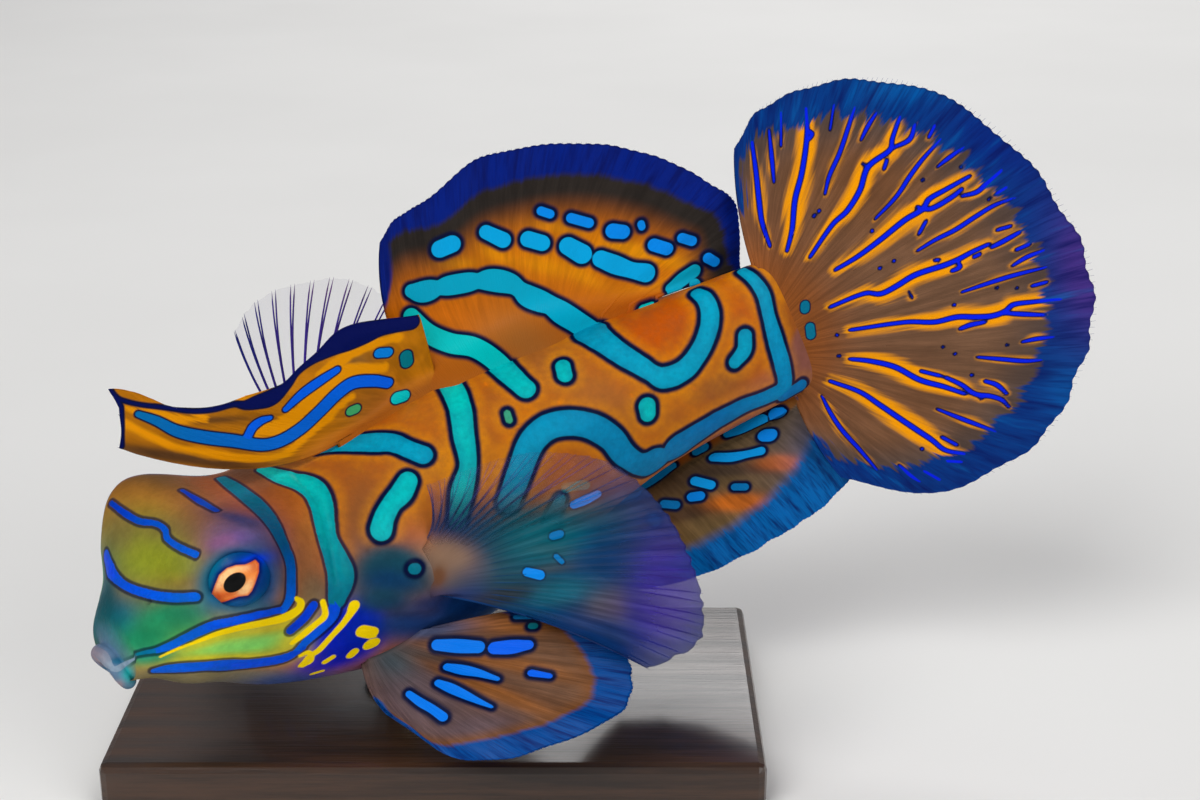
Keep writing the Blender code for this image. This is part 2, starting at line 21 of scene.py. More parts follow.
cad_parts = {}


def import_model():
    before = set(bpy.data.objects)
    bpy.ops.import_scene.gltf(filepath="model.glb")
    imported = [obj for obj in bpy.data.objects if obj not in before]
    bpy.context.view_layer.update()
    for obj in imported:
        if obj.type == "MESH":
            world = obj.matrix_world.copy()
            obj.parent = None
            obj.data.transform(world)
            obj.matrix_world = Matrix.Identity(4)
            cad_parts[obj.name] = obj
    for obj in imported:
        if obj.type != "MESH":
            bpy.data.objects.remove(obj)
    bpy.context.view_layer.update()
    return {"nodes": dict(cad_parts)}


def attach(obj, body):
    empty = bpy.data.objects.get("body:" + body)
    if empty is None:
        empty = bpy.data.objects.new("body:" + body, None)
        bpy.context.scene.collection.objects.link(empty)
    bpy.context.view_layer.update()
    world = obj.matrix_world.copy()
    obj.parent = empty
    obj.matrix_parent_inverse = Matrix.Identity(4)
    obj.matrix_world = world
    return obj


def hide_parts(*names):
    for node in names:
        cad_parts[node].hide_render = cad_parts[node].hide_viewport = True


LOG = logging.getLogger("mandarinfish")
MM = 0.001
FAR = 1.6
BATCH = 3000
AWAY = 1.5
BLACK = (0.004, 0.004, 0.004, 1)
Array = np.ndarray
Points = tuple[tuple[float, float], ...]


class Ink(Enum):
    """The paints of the model, as display red, green and blue from 0 to 255."""

    TURQUOISE = (0, 184, 184)
    AQUA = (0, 200, 188)
    CYAN = (0, 158, 190)
    MOSS = (92, 110, 62)
    LEAF = (122, 236, 116)
    BURNT = (176, 84, 36)
    OPERCLE = (14, 66, 82)
    PURPLE_GREY = (96, 88, 122)
    GROUND = (186, 96, 8)
    BODY_RED = (184, 76, 0)
    BODY_TAN = (158, 100, 44)
    DEEP_BLUE = (0, 50, 108)
    CROWN = (92, 56, 34)
    SUN = (228, 206, 20)
    FIN_ORANGE = (206, 108, 6)
    FIN_CYAN = (0, 158, 216)
    ANAL_BLUE = (0, 148, 225)
    PELVIC_BLUE = (0, 118, 232)
    PELVIC_BROWN = (122, 84, 58)
    TAIL_ROOT = (140, 76, 28)
    TAIL_DUSK = (92, 74, 66)
    CLEAR = (255, 255, 255)
    TEAL = (0, 120, 135)
    DEEP_TEAL = (0, 78, 92)
    GREEN_SPOT = (70, 175, 110)
    FIN_BLUE = (0, 130, 225)
    BAND_BLUE = (0, 110, 175)
    BLUE_TEAL = (0, 76, 124)
    ROYAL = (0, 62, 236)
    RING_BLUE = (0, 44, 128)
    SLATE = (56, 110, 128)
    GOLD = (206, 126, 8)
    SOOT = (44, 38, 34)
    MAUVE = (100, 82, 90)
    TAIL_RIM = (0, 50, 122)
    SEA = (0, 92, 166)
    DEEP_VIOLET = (74, 42, 124)
    DEEP_SEA = (0, 92, 132)
    ANAL_RIM = (0, 96, 168)
    LINE_BLUE = (0, 98, 240)
    TAIL_LINE = (0, 28, 222)
    TAIL_SPOT = (0, 105, 135)
    OUTLINE = (0, 12, 50)
    NAVY = (0, 12, 84)
    MARGIN = (0, 28, 120)
    MARGIN_SEA = (0, 72, 146)
    VIOLET = (70, 45, 160)
    ORANGE = (218, 112, 8)
    AMBER = (236, 150, 0)
    TAN = (176, 104, 38)
    BROWN = (128, 78, 40)
    UMBER = (74, 52, 36)
    TAIL_GREY = (120, 88, 66)
    YELLOW = (250, 214, 0)
    LIME = (150, 158, 18)
    GRASS = (98, 190, 60)
    GREEN = (20, 140, 92)
    SNOUT_BLUE = (0, 96, 130)
    PURPLE = (158, 96, 138)
    DUSK = (84, 86, 128)
    VIOLET_GREY = (120, 82, 146)
    PEACH = (176, 140, 112)
    CHIN = (132, 122, 82)
    LIP = (150, 168, 184)
    LIP_PINK = (158, 132, 136)
    LIP_SHADE = (84, 118, 150)
    # Near-black for the painted shade inside the mouth.
    MOUTH_SHADE = (24, 14, 20)
    THROAT = (0, 26, 190)
    BELLY = (16, 70, 118)
    OLIVE = (120, 96, 58)
    IRIS = (250, 140, 52)
    IRIS_LIGHT = (255, 205, 140)
    IRIS_DEEP = (196, 50, 10)

    @property
    def linear(self) -> Array:
        """Scene-linear value: each part over 255, by the display curve turned round."""
        part = np.array(self.value, float) / 255
        return np.where(part <= 0.04045, part / 12.92, ((part + 0.055) / 1.055) ** 2.4)


def smooth(x: Array | float, table: Array | tuple) -> Array:
    """Cubic through the rows (place, values), whose slope at a row is that of its chords.

    Args:
        x: Places to read.
        table: Rows of one place and its values.

    Returns:
        The values at x, with one more axis than x.
    """
    rows = np.asarray(table, float)
    t, y = rows[:, 0], rows[:, 1:]
    slope = np.zeros_like(y)
    slope[1:-1] = (y[2:] - y[:-2]) / (t[2:] - t[:-2])[:, None]
    slope[0] = (y[1] - y[0]) / (t[1] - t[0])
    slope[-1] = (y[-1] - y[-2]) / (t[-1] - t[-2])
    x = np.asarray(x, float)
    i = np.clip(np.searchsorted(t, x) - 1, 0, len(t) - 2)
    h = (t[i + 1] - t[i])[..., None]
    f = (x - t[i])[..., None] / h
    return ((2 * f**3 - 3 * f**2 + 1) * y[i] + (f**3 - 2 * f**2 + f) * h * slope[i]
            + (3 * f**2 - 2 * f**3) * y[i + 1] + (f**3 - f**2) * h * slope[i + 1])


def ease(x: Array, low: float, high: float) -> Array:
    """0 at low, 1 at high, by 3t squared less 2t cubed between them."""
    t = np.clip((x - low) / (high - low), 0, 1)
    return t * t * (3 - 2 * t)


def unit(v: Array) -> Array:
    """Each vector over its own length."""
    return v / np.maximum(np.linalg.norm(v, axis=-1, keepdims=True), 1e-12)


@dataclass(frozen=True)
class Lens:
    """The camera, which also carries marks measured in picture points onto the model."""

    target: tuple[float, float, float] = (10.0, 2.0, 21.5)
    elevation: float = 20.0
    distance: float = 125.0
    focal: float = 60.0
    sensor: float = 36.0
    size: tuple[int, int] = (1200, 800)

    @property
    def toward(self) -> Array:
        """Unit vector from the target to the camera."""
        e = math.radians(self.elevation)
        return np.array((0.0, -math.cos(e), math.sin(e)))

    @property
    def right(self) -> Array:
        """Unit vector to the picture's right."""
        return np.array((1.0, 0.0, 0.0))

    @property
    def up(self) -> Array:
        """Unit vector to the picture's top."""
        e = math.radians(self.elevation)
        return np.array((0.0, math.sin(e), math.cos(e)))

    @property
    def eye(self) -> Array:
        """The camera's place: the target plus the distance towards the camera."""
        return np.array(self.target) + self.toward * self.distance

    @property
    def gain(self) -> float:
        """Picture points for a slope of one: the width times the focal length over the sensor."""
        return self.size[0] * self.focal / self.sensor

    def project(self, points: Array) -> Array:
        """Picture points of places: side and height over depth, times the gain, from the middle."""
        rel = points - self.eye
        depth = -(rel @ self.toward)
        return np.stack([self.size[0] / 2 + self.gain * (rel @ self.right) / depth,
                         self.size[1] / 2 - self.gain * (rel @ self.up) / depth], -1)

    def rays(self, spots: Array) -> Array:
        """Unit directions through picture points, which undo the projection."""
        x = (spots[..., 0:1] - self.size[0] / 2) / self.gain
        y = (self.size[1] / 2 - spots[..., 1:2]) / self.gain
        return unit(x * self.right + y * self.up - self.toward)

    def scale(self, points: Array) -> Array:
        """Picture points for a millimetre at each place."""
        return self.gain / -((points - self.eye) @ self.toward)

    def build(self) -> None:
        """Make the camera at the eye, turned to the target."""
        data = bpy.data.cameras.new("camera")
        data.lens, data.sensor_width = self.focal, self.sensor
        data.clip_start, data.clip_end = 0.005, 5.0
        camera = bpy.data.objects.new("camera", data)
        camera.location = self.eye * MM
        camera.rotation_mode = "QUATERNION"
        camera.rotation_quaternion = Vector(-self.toward).to_track_quat("-Z", "Y")
        bpy.context.scene.collection.objects.link(camera)
        bpy.context.scene.camera = camera


LENS = Lens()


@dataclass(frozen=True)
class Stroke:
    """A mark: a smooth line through picture points, its width there and its ink.

    width is one number or one for each point; last is the ink that it turns into.
    """

    points: Points
    width: float | tuple[float, ...]
    ink: Ink = Ink.TURQUOISE
    last: Ink | None = None

    def sample(self, step: float = 1.6) -> tuple[Array, Array, Array]:
        """Spots along the line, half widths and inks.

        A cubic through the points is read at equal steps of chord length; widths follow the
        same cubic, and the ink runs evenly from the first to the last.
        """
        spots = np.array(self.points, float)
        widths = np.broadcast_to(np.array(self.width, float), (len(spots),))
        first, last = self.ink.linear, (self.last or self.ink).linear
        if len(spots) == 1:
            return spots, widths / 2, first[None, :]
        run = np.concatenate([[0], np.cumsum(np.linalg.norm(np.diff(spots, axis=0), axis=1))])
        count = max(3, int(run[-1] / step))
        t = np.linspace(0, run[-1], count)
        read = smooth(t, np.column_stack([run, spots, widths]))
        share = (t / run[-1])[:, None]
        return read[:, :2], read[:, 2] / 2, first * (1 - share) + last * share


@dataclass(frozen=True)
class Patch:
    """A soft oval of one ink: centre and half sizes in picture points, tilt in degrees."""

    at: tuple[float, float]
    size: tuple[float, float]
    ink: Ink
    strength: float = 1.0
    tilt: float = 0.0
    hard: float = 3.0

    def weight(self, spots: Array) -> Array:
        """Strength over one plus the oval radius to the power of the hardness."""
        a = math.radians(self.tilt)
        dx, dy = spots[..., 0] - self.at[0], spots[..., 1] - self.at[1]
        x = dx * math.cos(a) - dy * math.sin(a)
        y = dx * math.sin(a) + dy * math.cos(a)
        far = np.hypot(x / self.size[0], y / self.size[1])
        return self.strength / (1 + far**self.hard)


def wash(spots: Array, base: Array, patches: tuple[Patch, ...]) -> Array:
    """Colours at picture points: the base, then each patch mixed over it by its weight."""
    colour = np.array(np.broadcast_to(base, (*spots.shape[:-1], 3)))
    for patch in patches:
        w = patch.weight(spots)[..., None]
        colour = colour * (1 - w) + patch.ink.linear * w
    return colour


@dataclass
class Run:
    """A stroke carried onto a surface: its path, half widths in millimetres and inks."""

    path: Array
    half: Array
    ink: Array


class Canvas:
    """A grid surface that strokes are carried onto along the lens's rays."""

    def __init__(self, grid: Array, wrap: bool = False) -> None:
        """Keep the grid (rows, columns, 3) and a search tree of its four-sided faces.

        Args:
            grid: Places in millimetres.
            wrap: Whether the last column joins the first.
        """
        self.rows, self.columns = grid.shape[:2]
        self.places = grid.reshape(-1, 3)
        self.faces = grid_faces(self.rows, self.columns, wrap)
        self.tree = BVHTree.FromPolygons(self.places.tolist(), self.faces.tolist())
        self.spots = LENS.project(self.places)

    def pick(self, spots: Array, slack: float = 9.0) -> tuple[Array, Array, Array]:
        """Grid corners and shares under picture points.

        A ray through the spot gives the face and the corners' shares of the place hit; a ray
        that misses takes the grid point that lies nearest in the picture, within the slack.

        Args:
            spots: Picture points.
            slack: Furthest miss in picture points.

        Returns:
            Corner numbers and shares (count, 4), and whether each spot lies on the surface.
        """
        corners = np.zeros((len(spots), 4), int)
        shares = np.zeros((len(spots), 4))
        found = np.zeros(len(spots), bool)
        eye = Vector(LENS.eye)
        for k, ray in enumerate(LENS.rays(spots)):
            place, _, face, _ = self.tree.ray_cast(eye, Vector(ray))
            if face is not None:
                corners[k] = self.faces[face]
                quad = [Vector(self.places[c]) for c in corners[k]]
                shares[k] = poly_3d_calc(quad, place)
                found[k] = True
                continue
            miss = np.hypot(*(self.spots - spots[k]).T)
            nearest = int(miss.argmin())
            if miss[nearest] < slack:
                corners[k], shares[k] = nearest, (1.0, 0.0, 0.0, 0.0)
                found[k] = True
        return corners, shares, found

    def carry(self, values: Array, corners: Array, shares: Array) -> Array:
        """Values of grid points read at picked corners by their shares."""
        return np.einsum("kc,kc...->k...", shares, values[corners])

    def lay(self, strokes: tuple[Stroke, ...], other: Array | None = None) -> list[Run]:
        """Strokes as runs on the surface, or on other, the same grid elsewhere.

        A half width is half the distance between the places under the stroke's two edges, kept
        between once and twice the half width over the picture's scale.
        """
        target = self.places if other is None else other
        runs = []
        for stroke in strokes:
            spots, half, ink = stroke.sample()
            corners, shares, found = self.pick(spots)
            if not found.any():
                continue
            path = self.carry(target, corners, shares)
            plain = half / LENS.scale(self.carry(self.places, corners, shares))
            if len(spots) > 1:
                along = unit(np.gradient(spots, axis=0))
                across = np.stack([-along[:, 1], along[:, 0]], -1) * half[:, None]
                c1, s1, ok1 = self.pick(spots + across, 0.0)
                c2, s2, ok2 = self.pick(spots - across, 0.0)
                wide = np.linalg.norm(self.carry(self.places, c1, s1)
                                      - self.carry(self.places, c2, s2), axis=-1) / 2
                wide = np.where(ok1 & ok2, wide, plain)
                kernel = np.ones(5) / 5
                wide = np.convolve(np.pad(wide, 2, mode="edge"), kernel, "valid")
                plain = np.clip(wide, plain, plain * 2.0)
            edge = np.flatnonzero(np.diff(np.concatenate([[0], found.astype(int), [0]])))
            for start, stop in edge.reshape(-1, 2):
                runs.append(Run(path[start:stop], plain[start:stop], ink[start:stop]))
        return runs


def grid_faces(rows: int, columns: int, wrap: bool = False) -> Array:
    """Four-sided faces of a grid numbered row by row; wrap joins the last column to the first."""
    i, j = np.meshgrid(np.arange(rows - 1), np.arange(columns if wrap else columns - 1),
                       indexing="ij")
    k = (j + 1) % columns
    return np.stack([i * columns + j, i * columns + k, (i + 1) * columns + k,
                     (i + 1) * columns + j], -1).reshape(-1, 4)


def reach(places: Array, runs: list[Run], start: tuple[Array, Array] | None = None,
          only: Array | None = None) -> tuple[Array, Array]:
    """Distance of places from the nearest run's edge, and that run's ink there.

    For each leg of a run the foot of the place on the leg gives the distance, less the half
    width there; the least over all legs is kept, negative inside a mark.

    Args:
        places: Places in millimetres.
        runs: The runs.
        start: Distances and inks to improve on.
        only: Which places are looked at.

    Returns:
        Distances, at most FAR, and inks.
    """
    far = np.full(len(places), FAR) if start is None else start[0].copy()
    ink = np.zeros((len(places), 3)) if start is None else start[1].copy()
    allowed = np.ones(len(places), bool) if only is None else only
    for run in runs:
        pad = run.half.max() + FAR
        low, high = run.path.min(0) - pad, run.path.max(0) + pad
        near = np.flatnonzero(allowed & ((places > low) & (places < high)).all(1))
        path, half, inks = run.path, run.half, run.ink
        if len(path) == 1:
            path, half, inks = (np.repeat(a, 2, 0) for a in (path, half, inks))
        legs = np.diff(path, axis=0)
        square = np.maximum((legs**2).sum(1), 1e-12)
        for part in np.array_split(near, max(1, len(near) // BATCH)):
            rel = places[part][:, None] - path[None, :-1]
            t = np.clip((rel * legs).sum(-1) / square, 0, 1)
            d = np.linalg.norm(rel - t[..., None] * legs, axis=-1)
            d -= half[:-1] * (1 - t) + half[1:] * t
            best = d.argmin(1)
            rowed = np.arange(len(part))
            d, t = d[rowed, best], t[rowed, best][:, None]
            closer = d < far[part]
            hit = part[closer]
            far[hit] = d[closer]
            ink[hit] = (inks[best] * (1 - t) + inks[best + 1] * t)[closer]
    return far, ink


def add_mesh(name: str, places: Array, faces: Array | list, numbers: dict[str, Array],
             material: bpy.types.Material, uv: Array | None = None,
             bent: tuple[Array, Array] | None = None) -> bpy.types.Object:
    """Mesh object from arrays, with its point attributes and finish.

    Args:
        name: Piece name.
        places: Places in millimetres.
        faces: Corner numbers of each face.
        numbers: Point attributes: one value or three to a point.
        material: Finish.
        uv: Two map coordinates to a point.
        bent: Shares and directions towards which the points' normals are turned.

    Returns:
        The object, at the origin.
    """
    mesh = bpy.data.meshes.new(name)
    mesh.from_pydata((places * MM).tolist(), [],
                     faces.tolist() if isinstance(faces, np.ndarray) else faces)
    mesh.polygons.foreach_set("use_smooth", np.ones(len(mesh.polygons), bool))
    for key, values in numbers.items():
        if values.ndim == 1:
            slot = mesh.attributes.new(key, "FLOAT", "POINT")
            slot.data.foreach_set("value", values.astype(np.float32))
        else:
            slot = mesh.attributes.new(key, "FLOAT_COLOR", "POINT")
            full = np.column_stack([values, np.ones(len(values))]).astype(np.float32)
            slot.data.foreach_set("color", full.ravel())
    if uv is not None:
        corner = np.zeros(len(mesh.loops), np.int32)
        mesh.loops.foreach_get("vertex_index", corner)
        layer = mesh.uv_layers.new(name="map")
        layer.data.foreach_set("uv", uv[corner].astype(np.float32).ravel())
    mesh.materials.append(material)
    mesh.validate()
    mesh.update()
    if bent is not None:
        own = np.zeros(len(places) * 3, np.float32)
        mesh.vertex_normals.foreach_get("vector", own)
        share, way = bent
        own = own.reshape(-1, 3) * (1 - share[:, None]) + way * share[:, None]
        mesh.normals_split_custom_set_from_vertices(unit(own).tolist())
    thing = bpy.data.objects.new(name, mesh)
    bpy.context.scene.collection.objects.link(thing)
    return thing


def outward(places: Array, faces: Array) -> Array:
    """Faces turned round if the closed surface's signed volume is negative."""
    a, b, c = places[faces[:, 0]], places[faces[:, 1]], places[faces[:, 2]]
    volume = np.einsum("ij,ij->i", a, np.cross(b, c)).sum()
    if faces.shape[1] == 4:
        d = places[faces[:, 3]]
        volume += np.einsum("ij,ij->i", a, np.cross(c, d)).sum()
    return faces if volume > 0 else faces[:, ::-1]


class Graph:
    """A material's node tree, built in short steps."""

    def __init__(self, name: str) -> None:
        """Start a material with its surface shader."""
        self.material = bpy.data.materials.new(name)
        self.material.use_nodes = True
        self.tree = self.material.node_tree
        self.shader = self.tree.nodes["Principled BSDF"]

    def node(self, kind: str, **settings: object) -> bpy.types.Node:
        """Add a node and set its properties."""
        made = self.tree.nodes.new(kind)
        for key, value in settings.items():
            setattr(made, key, value)
        return made

    def join(self, value: object, socket: bpy.types.NodeSocket) -> None:
        """Link a socket, or set a constant."""
        if isinstance(value, bpy.types.NodeSocket):
            self.tree.links.new(value, socket)
        else:
            socket.default_value = value

    def number(self, name: str) -> bpy.types.NodeSocket:
        """Read a point attribute of one value."""
        return self.node("ShaderNodeAttribute", attribute_name=name).outputs["Fac"]

    def colour(self, name: str) -> bpy.types.NodeSocket:
        """Read a point attribute of three values."""
        return self.node("ShaderNodeAttribute", attribute_name=name).outputs["Color"]

    def math(self, operation: str, a: object, b: object = 0.0) -> bpy.types.NodeSocket:
        """One arithmetic step."""
        made = self.node("ShaderNodeMath", operation=operation)
        self.join(a, made.inputs[0])
        self.join(b, made.inputs[1])
        return made.outputs[0]

    def ramp(self, value: object, low: float, high: float, first: float = 0.0,
             last: float = 1.0) -> bpy.types.NodeSocket:
        """Value from low to high turned smoothly into first to last."""
        made = self.node("ShaderNodeMapRange", interpolation_type="SMOOTHSTEP")
        self.join(value, made.inputs["Value"])
        for key, number in (("From Min", low), ("From Max", high), ("To Min", first),
                            ("To Max", last)):
            made.inputs[key].default_value = number
        return made.outputs["Result"]

    def mix(self, share: object, a: object, b: object, blend: str = "MIX") -> bpy.types.NodeSocket:
        """Mix two colours by a share."""
        made = self.node("ShaderNodeMix", data_type="RGBA", blend_type=blend)
        self.join(share, made.inputs["Factor"])
        for value, socket in ((a, made.inputs[6]), (b, made.inputs[7])):
            self.join(self.full(value), socket)
        return made.outputs[2]

    @staticmethod
    def full(value: object) -> object:
        """An ink as four numbers; anything else as it is."""
        return (*value.linear, 1.0) if isinstance(value, Ink) else value

    def place(self, stretch: tuple[float, float, float] = (1, 1, 1)) -> bpy.types.NodeSocket:
        """Object coordinates, stretched."""
        coordinates = self.node("ShaderNodeTexCoord").outputs["Object"]
        return self.stretched(coordinates, stretch)

    def map(self, stretch: tuple[float, float, float] = (1, 1, 1)) -> bpy.types.NodeSocket:
        """The piece's own map, stretched."""
        return self.stretched(self.node("ShaderNodeUVMap", uv_map="map").outputs["UV"], stretch)

    def stretched(self, vector: object, stretch: tuple) -> bpy.types.NodeSocket:
        """Coordinates times a stretch."""
        made = self.node("ShaderNodeMapping")
        self.join(vector, made.inputs["Vector"])
        made.inputs["Scale"].default_value = stretch
        return made.outputs["Vector"]

    def noise(self, vector: object, scale: float, detail: float = 3.0,
              rough: float = 0.55) -> bpy.types.NodeSocket:
        """Soft noise from 0 to 1."""
        made = self.node("ShaderNodeTexNoise")
        self.join(vector, made.inputs["Vector"])
        made.inputs["Scale"].default_value = scale
        made.inputs["Detail"].default_value = detail
        made.inputs["Roughness"].default_value = rough
        return made.outputs["Fac"]

    def bump(self, height: object, distance: float, strength: float = 1.0,
             under: object = None) -> bpy.types.NodeSocket:
        """Normal raised by a height of at most distance metres."""
        made = self.node("ShaderNodeBump")
        made.inputs["Distance"].default_value = distance
        made.inputs["Strength"].default_value = strength
        self.join(height, made.inputs["Height"])
        if under is not None:
            self.join(under, made.inputs["Normal"])
        return made.outputs["Normal"]

    def set(self, **values: object) -> None:
        """Set or link the shader's inputs; a double underscore in a key stands for a blank."""
        for key, value in values.items():
            self.join(self.full(value), self.shader.inputs[key.replace("__", " ")])


@dataclass(frozen=True)
class SkinFinish:
    """Scaleless wet skin: mottled ground, soft dark outlines and flat bands of ink."""

    outline: float = 0.45
    wobble: float = 0.10
    mottle: float = 330.0
    grain: float = 5200.0

    def build(self) -> bpy.types.Material:
        """Mix ground, halo, outline, band and yellow in that order by distance from a mark."""
        g = Graph("skin")
        place = g.place()
        wave = g.math("MULTIPLY", g.math("SUBTRACT", g.noise(place, 900, 2), 0.5), self.wobble)
        mark = g.math("ADD", g.number("mark"), wave)
        light = g.math("ADD", g.number("light"), wave)
        cloud = g.noise(place, self.mottle, 4, 0.6)
        speck = g.noise(place, 2600, 2)
        ground = g.mix(g.ramp(cloud, 0.38, 0.66, 0.0, 0.6), g.colour("ground"),
                       g.colour("shade"))
        ground = g.mix(g.ramp(mark, 0.3, 1.15, 0.38, 0.0), ground, g.colour("glow"))
        ground = g.mix(g.ramp(g.noise(place, 170, 4, 0.6), 0.46, 0.72, 0.0, 0.55), ground,
                       g.colour("glow"))
        ground = g.mix(g.ramp(speck, 0.3, 0.75, 0.0, 0.34), ground, g.colour("shade"))
        edge = g.math("MULTIPLY", g.ramp(mark, 0.19, self.outline, 1.0, 0.0),
                      g.number("edging"))
        colour = g.mix(edge, ground, Ink.OUTLINE)
        tone = g.mix(g.ramp(speck, 0.3, 0.8, 0.0, 0.2), g.colour("ink"), Ink.OUTLINE)
        tone = g.mix(g.ramp(mark, -0.45, -0.05, 0.0, 0.22), tone, Ink.DEEP_SEA)
        tone = g.mix(g.ramp(cloud, 0.42, 0.68, 0.0, 0.3), tone, Ink.DEEP_SEA)
        colour = g.mix(g.ramp(mark, -0.05, 0.05, 1.0, 0.0), colour, tone)
        colour = g.mix(g.ramp(light, -0.05, 0.05, 1.0, 0.0), colour, Ink.YELLOW)
        grain = g.noise(place, self.grain, 3)
        pebble = g.noise(place, 1500, 2)
        normal = g.bump(grain, 0.00003, 0.55)
        normal = g.bump(pebble, 0.00008, 0.5, normal)
        g.set(Base__Color=colour, Roughness=g.ramp(cloud, 0.3, 0.7, 0.38, 0.5), Normal=normal,
              Specular__IOR__Level=0.05, Coat__Weight=0.02, Coat__Roughness=0.2,
              Subsurface__Weight=0.04, Subsurface__Scale=0.0006)
        return g.material


@dataclass(frozen=True)
class FinFinish:
    """Fin film and rays: streaked ground, halos round fine lines and a dark margin."""

    name: str
    outline: float = 0.2
    halo: tuple[float, float] = (0.42, 0.62)
    streaks: float = 60.0
    jag: float = 0.9
    pale: float = 0.5
    sheer: bool = False

    def build(self) -> bpy.types.Material:
        """Mix streaked ground, halo, outline, mark and margin by the attributes' distances."""
        g = Graph(self.name)
        streak = g.noise(g.map((self.streaks, 3.0, 1.0)), 1.0, 2, 0.6)
        fine = g.noise(g.map((self.streaks * 4, 5.0, 1.0)), 1.0, 2, 0.6)
        mark, halo = g.number("mark"), g.number("halo")
        ground = g.mix(g.ramp(streak, 0.32, 0.7, 0.0, 0.75), g.colour("ground"),
                       g.colour("shade"))
        ground = g.mix(g.ramp(fine, 0.4, 0.75, 0.0, 0.35), ground, g.colour("shade"))
        cloud = g.noise(g.place(), 420, 3, 0.6)
        ground = g.mix(g.ramp(cloud, 0.4, 0.7, 0.0, 0.4), ground, g.colour("shade"))
        rough_halo = g.math("ADD", halo, g.ramp(streak, 0.3, 0.7, -0.14, 0.14))
        colour = g.mix(g.ramp(rough_halo, self.halo[0], self.halo[1], 1.0, 0.0), ground,
                       g.colour("glow"))
        colour = g.mix(g.math("MULTIPLY", g.ramp(mark, 0.3 * self.outline, self.outline, 1.0, 0.0),
                              g.number("edging")), colour, Ink.OUTLINE)
        margin = g.math("ADD", g.number("margin"), g.ramp(streak, 0.25, 0.75, -self.jag,
                                                          self.jag))
        margin = g.math("ADD", margin, g.ramp(fine, 0.3, 0.7, -0.3 * self.jag, 0.3 * self.jag))
        rim = g.mix(g.ramp(streak, 0.42, 0.75, 0.0, 0.8), g.colour("rim"), Ink.NAVY)
        rim = g.mix(g.ramp(fine, 0.45, 0.7, 0.0, 0.5), rim, Ink.NAVY)
        rim = g.mix(g.ramp(streak, 0.24, 0.42, self.pale, 0.0), rim, Ink.SEA)
        colour = g.mix(g.ramp(margin, -0.15, 0.4, 1.0, 0.0), colour, rim)
        colour = g.mix(g.ramp(mark, -0.035, 0.035, 1.0, 0.0), colour, g.colour("ink"))
        normal = g.bump(fine, 0.00006, 0.5)
        g.set(Base__Color=colour, Roughness=g.ramp(streak, 0.3, 0.7, 0.36, 0.5), Normal=normal,
              Specular__IOR__Level=0.06, Coat__Weight=0.01, Coat__Roughness=0.3)
        if self.sheer:
            g.set(Alpha=g.number("cover"))
        return g.material


@dataclass(frozen=True)
class EyeFinish:
    """Wet eye: black pupil, burning iris and blue rim under a clear coat."""

    def build(self) -> bpy.types.Material:
        """Mix rim, iris and pupil by their outlines' distances, streaked round the pupil."""
        g = Graph("eye")
        place = g.place()
        cloud = g.noise(place, 900, 3, 0.6)
        speck = g.noise(place, 4200, 3, 0.6)
        pupil, iris = g.number("pupil"), g.number("iris")
        flame = g.mix(g.ramp(cloud, 0.4, 0.7, 0.0, 0.25), g.colour("fire"), Ink.IRIS)
        flame = g.mix(g.ramp(speck, 0.4, 0.8, 0.0, 0.3), flame, Ink.IRIS_DEEP)
        flame = g.mix(g.ramp(iris, -0.14, -0.01, 0.0, 0.6), flame, Ink.IRIS_DEEP)
        rim = g.mix(g.ramp(iris, 0.02, 0.3, 0.9, 0.0), g.colour("ground"), Ink.NAVY)
        colour = g.mix(g.ramp(iris, -0.03, 0.03, 1.0, 0.0), rim, flame)
        colour = g.mix(g.ramp(pupil, -0.03, 0.03, 1.0, 0.0), colour, BLACK)
        g.set(Base__Color=colour, Roughness=0.4, Specular__IOR__Level=0.06, Coat__Weight=0.04,
              Coat__Roughness=0.08, Normal=g.bump(speck, 0.00003, 0.4))
        return g.material


@dataclass(frozen=True)
class WoodFinish:
    """Dark varnished wood with fine long grain."""

    def build(self) -> bpy.types.Material:
        """Noise stretched along the board gives the grain's colour, height and gloss."""
        g = Graph("stand_wood")
        long = g.noise(g.place((1.0, 14.0, 14.0)), 60, 5, 0.65)
        pore = g.noise(g.place((1.0, 30.0, 30.0)), 160, 3, 0.6)
        colour = g.mix(g.ramp(long, 0.32, 0.7), (0.060, 0.026, 0.012, 1),
                       (0.018, 0.008, 0.004, 1))
        colour = g.mix(g.ramp(pore, 0.55, 0.75, 0.0, 0.6), colour, (0.008, 0.004, 0.002, 1))
        g.set(Base__Color=colour, Roughness=g.ramp(long, 0.3, 0.7, 0.3, 0.42),
              Normal=g.bump(pore, 0.00006, 0.5), Coat__Weight=0.35, Coat__Roughness=0.12)
        return g.material


@dataclass(frozen=True)
class BrassFinish:
    """Satin brass with turning marks."""

    def build(self) -> bpy.types.Material:
        """Noise pressed flat across the rod gives the turning marks."""
        g = Graph("stand_metal")
        turning = g.noise(g.place((1.0, 1.0, 60.0)), 120, 3, 0.5)
        tint = g.mix(g.ramp(turning, 0.3, 0.7), (0.66, 0.50, 0.24, 1), (0.48, 0.34, 0.14, 1))
        g.set(Base__Color=tint, Metallic=1.0, Roughness=g.ramp(turning, 0.3, 0.7, 0.2, 0.34),
              Normal=g.bump(turning, 0.00002, 0.4))
        return g.material


